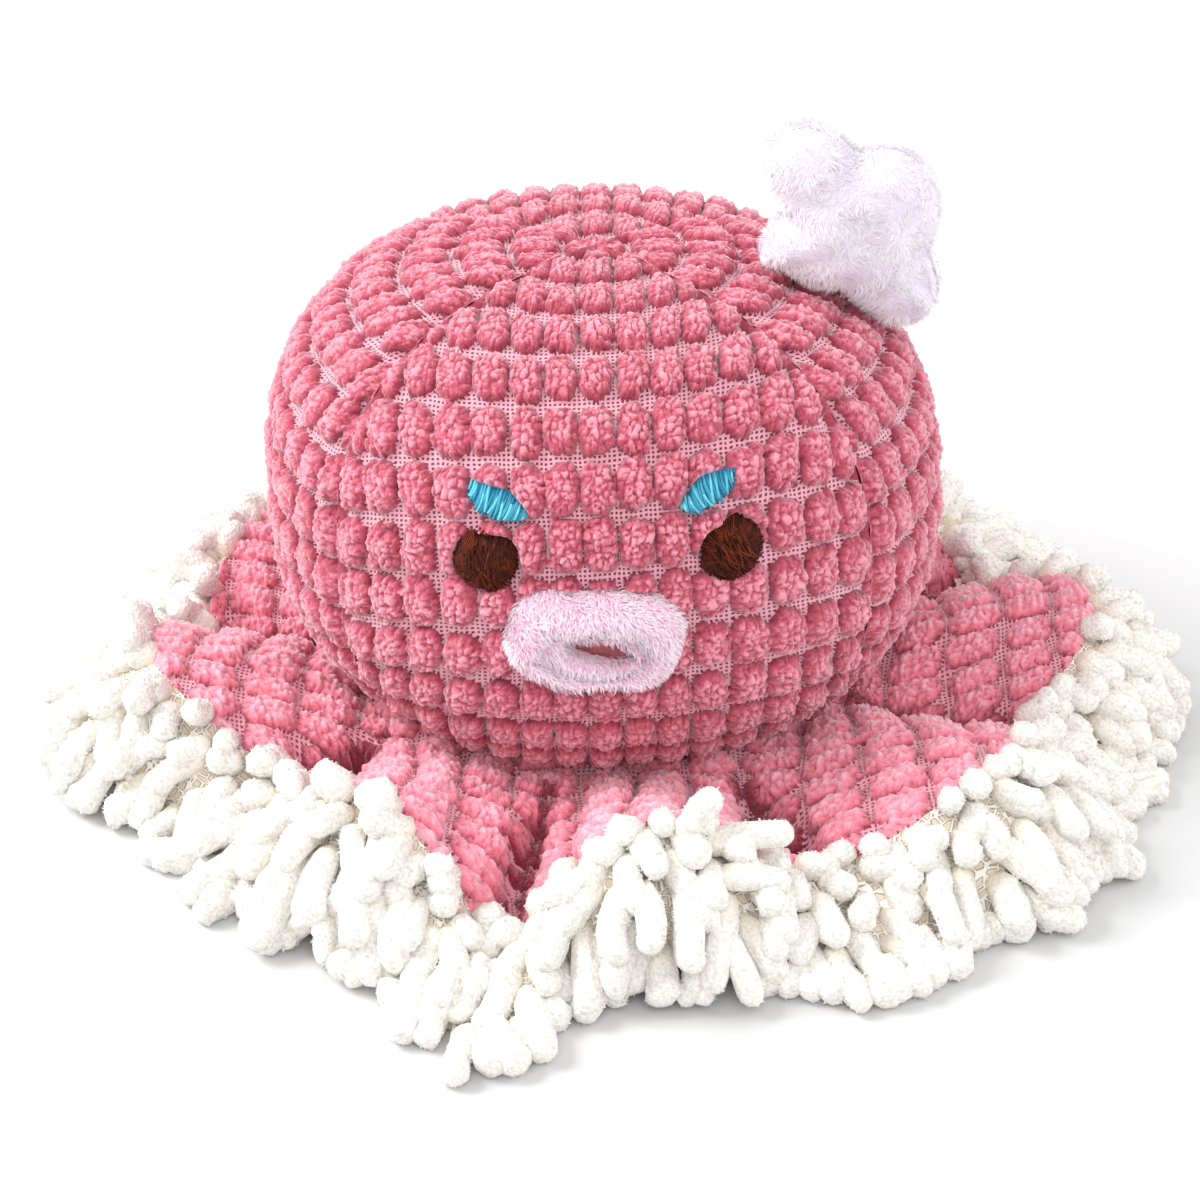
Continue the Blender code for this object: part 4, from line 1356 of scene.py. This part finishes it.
seams = {
    "loops": 7, "loopWidth": 0.0006, "loopReach": 0.0011, "loopRise": 0.0006, "loopStart": 0.0004,
    "loopThread": 0.0003, "neckThread": 0.00022, "neckEvery": 2.1, "neckReach": 0.0607, "neckHeight": 0.0192,
    "stitchTurn": 0.012, "stitchSlope": 0.0009, "stitchRise": 0.0005, "stitchClimb": 0.0006,
}
alongStitch = np.linspace(-1, 1, 5)


def makeTuftLoops():
    low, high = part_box("tuft_stitching")
    lines = []
    for step in range(seams["loops"]):
        share = (step + 0.5) / seams["loops"]
        x, z = low.x + (high.x - low.x) * share, high.z + (low.z - high.z) * share
        lines.append([(x + seams["loopWidth"] * s, low.y + seams["loopStart"] + s * seams["loopReach"],
                       z + seams["loopRise"] * (1 - s * s)) for s in alongStitch])
    piece = makeStitches("tuft_seam_stitches", lines, np.full(len(lines), 0.9), seams["loopThread"])
    finishPiece(piece, paleThread)
    fit(piece, "head", "tuft_thread", "tuft_stitching")


def makeNeckStitches():
    dice = np.random.default_rng(31)
    lines = []
    for turn in np.arange(0, 360, seams["neckEvery"]):
        middle = turn * degrees + dice.uniform(-0.004, 0.004)
        tilt = dice.uniform(0.2, 0.5)
        stitch = []
        for s in alongStitch:
            reach = seams["neckReach"] + seams["stitchSlope"] * s * tilt
            at = middle + s * seams["stitchTurn"]
            up = seams["neckHeight"] + seams["stitchRise"] * (1 - s * s) + seams["stitchClimb"] * s
            stitch.append((reach * math.cos(at), reach * math.sin(at), up))
        lines.append(stitch)
    piece = makeStitches("neck_seam_stitches", lines, dice.uniform(0.6, 1, len(lines)), seams["neckThread"])
    finishPiece(piece, paleThread)
    fit(piece, "head", "pink_plush")


makeTuftLoops()
makeNeckStitches()
print("tuft and seams made")


# Floor, light and camera

studio = {
    "floor": 4.0, "floorTones": ((0.67, 0.67, 0.675, 1), (0.69, 0.69, 0.692, 1)), "skyStrength": 0.74,
    "target": (0, 0, 0.05),  # what the lights point at
    # name, place, size and power
    "lights": (("key_light", (-1.7, 0.1, 2.0), 1.1, 48), ("fill_light", (0.2, -1.7, 1.8), 1.5, 18),
               ("right_light", (1.9, 0.0, 0.8), 1.2, 13), ("left_light", (-1.9, 0.1, 0.7), 1.2, 14)),
}
camera = {"place": (-0.0013, -0.5781, 0.3755), "down": 31.2, "lens": 78, "sensor": 36, "near": 0.01}


def makeFloor():
    bpy.ops.object.select_all(action="DESELECT")
    bpy.ops.mesh.primitive_plane_add(size=studio["floor"])
    floor = named("floor")
    material, shader, start, solid = newFinish("pale_floor", {"Roughness": 0.7, "Specular IOR Level": 0.2})
    shown = solid.noise(6, 2).mix(*studio["floorTones"])
    start.tree.links.new(shown.socket, shader.inputs["Base Color"])
    floor.data.materials.append(material)


def makeLight():
    world = bpy.data.worlds.new("studio")
    bpy.context.scene.world = world
    world.use_nodes = True
    sky = world.node_tree.nodes["Background"]
    sky.inputs["Color"].default_value = (1, 1, 1, 1)
    sky.inputs["Strength"].default_value = studio["skyStrength"]
    for name, place, size, power in studio["lights"]:
        bpy.ops.object.light_add(type="AREA", location=place)
        light = named(name)
        light.data.size = size
        light.data.energy = power
        facing = Vector(studio["target"]) - Vector(place)
        light.rotation_euler = facing.to_track_quat("-Z", "Y").to_euler()


def makeCamera():
    bpy.ops.object.camera_add(location=camera["place"], rotation=((90 - camera["down"]) * degrees, 0, 0))
    view = bpy.context.object
    view.data.lens = camera["lens"]
    view.data.sensor_width = camera["sensor"]
    view.data.clip_start = camera["near"]
    bpy.context.scene.camera = view


makeFloor()
makeLight()
makeCamera()
bpy.context.scene.view_settings.view_transform = "Standard"
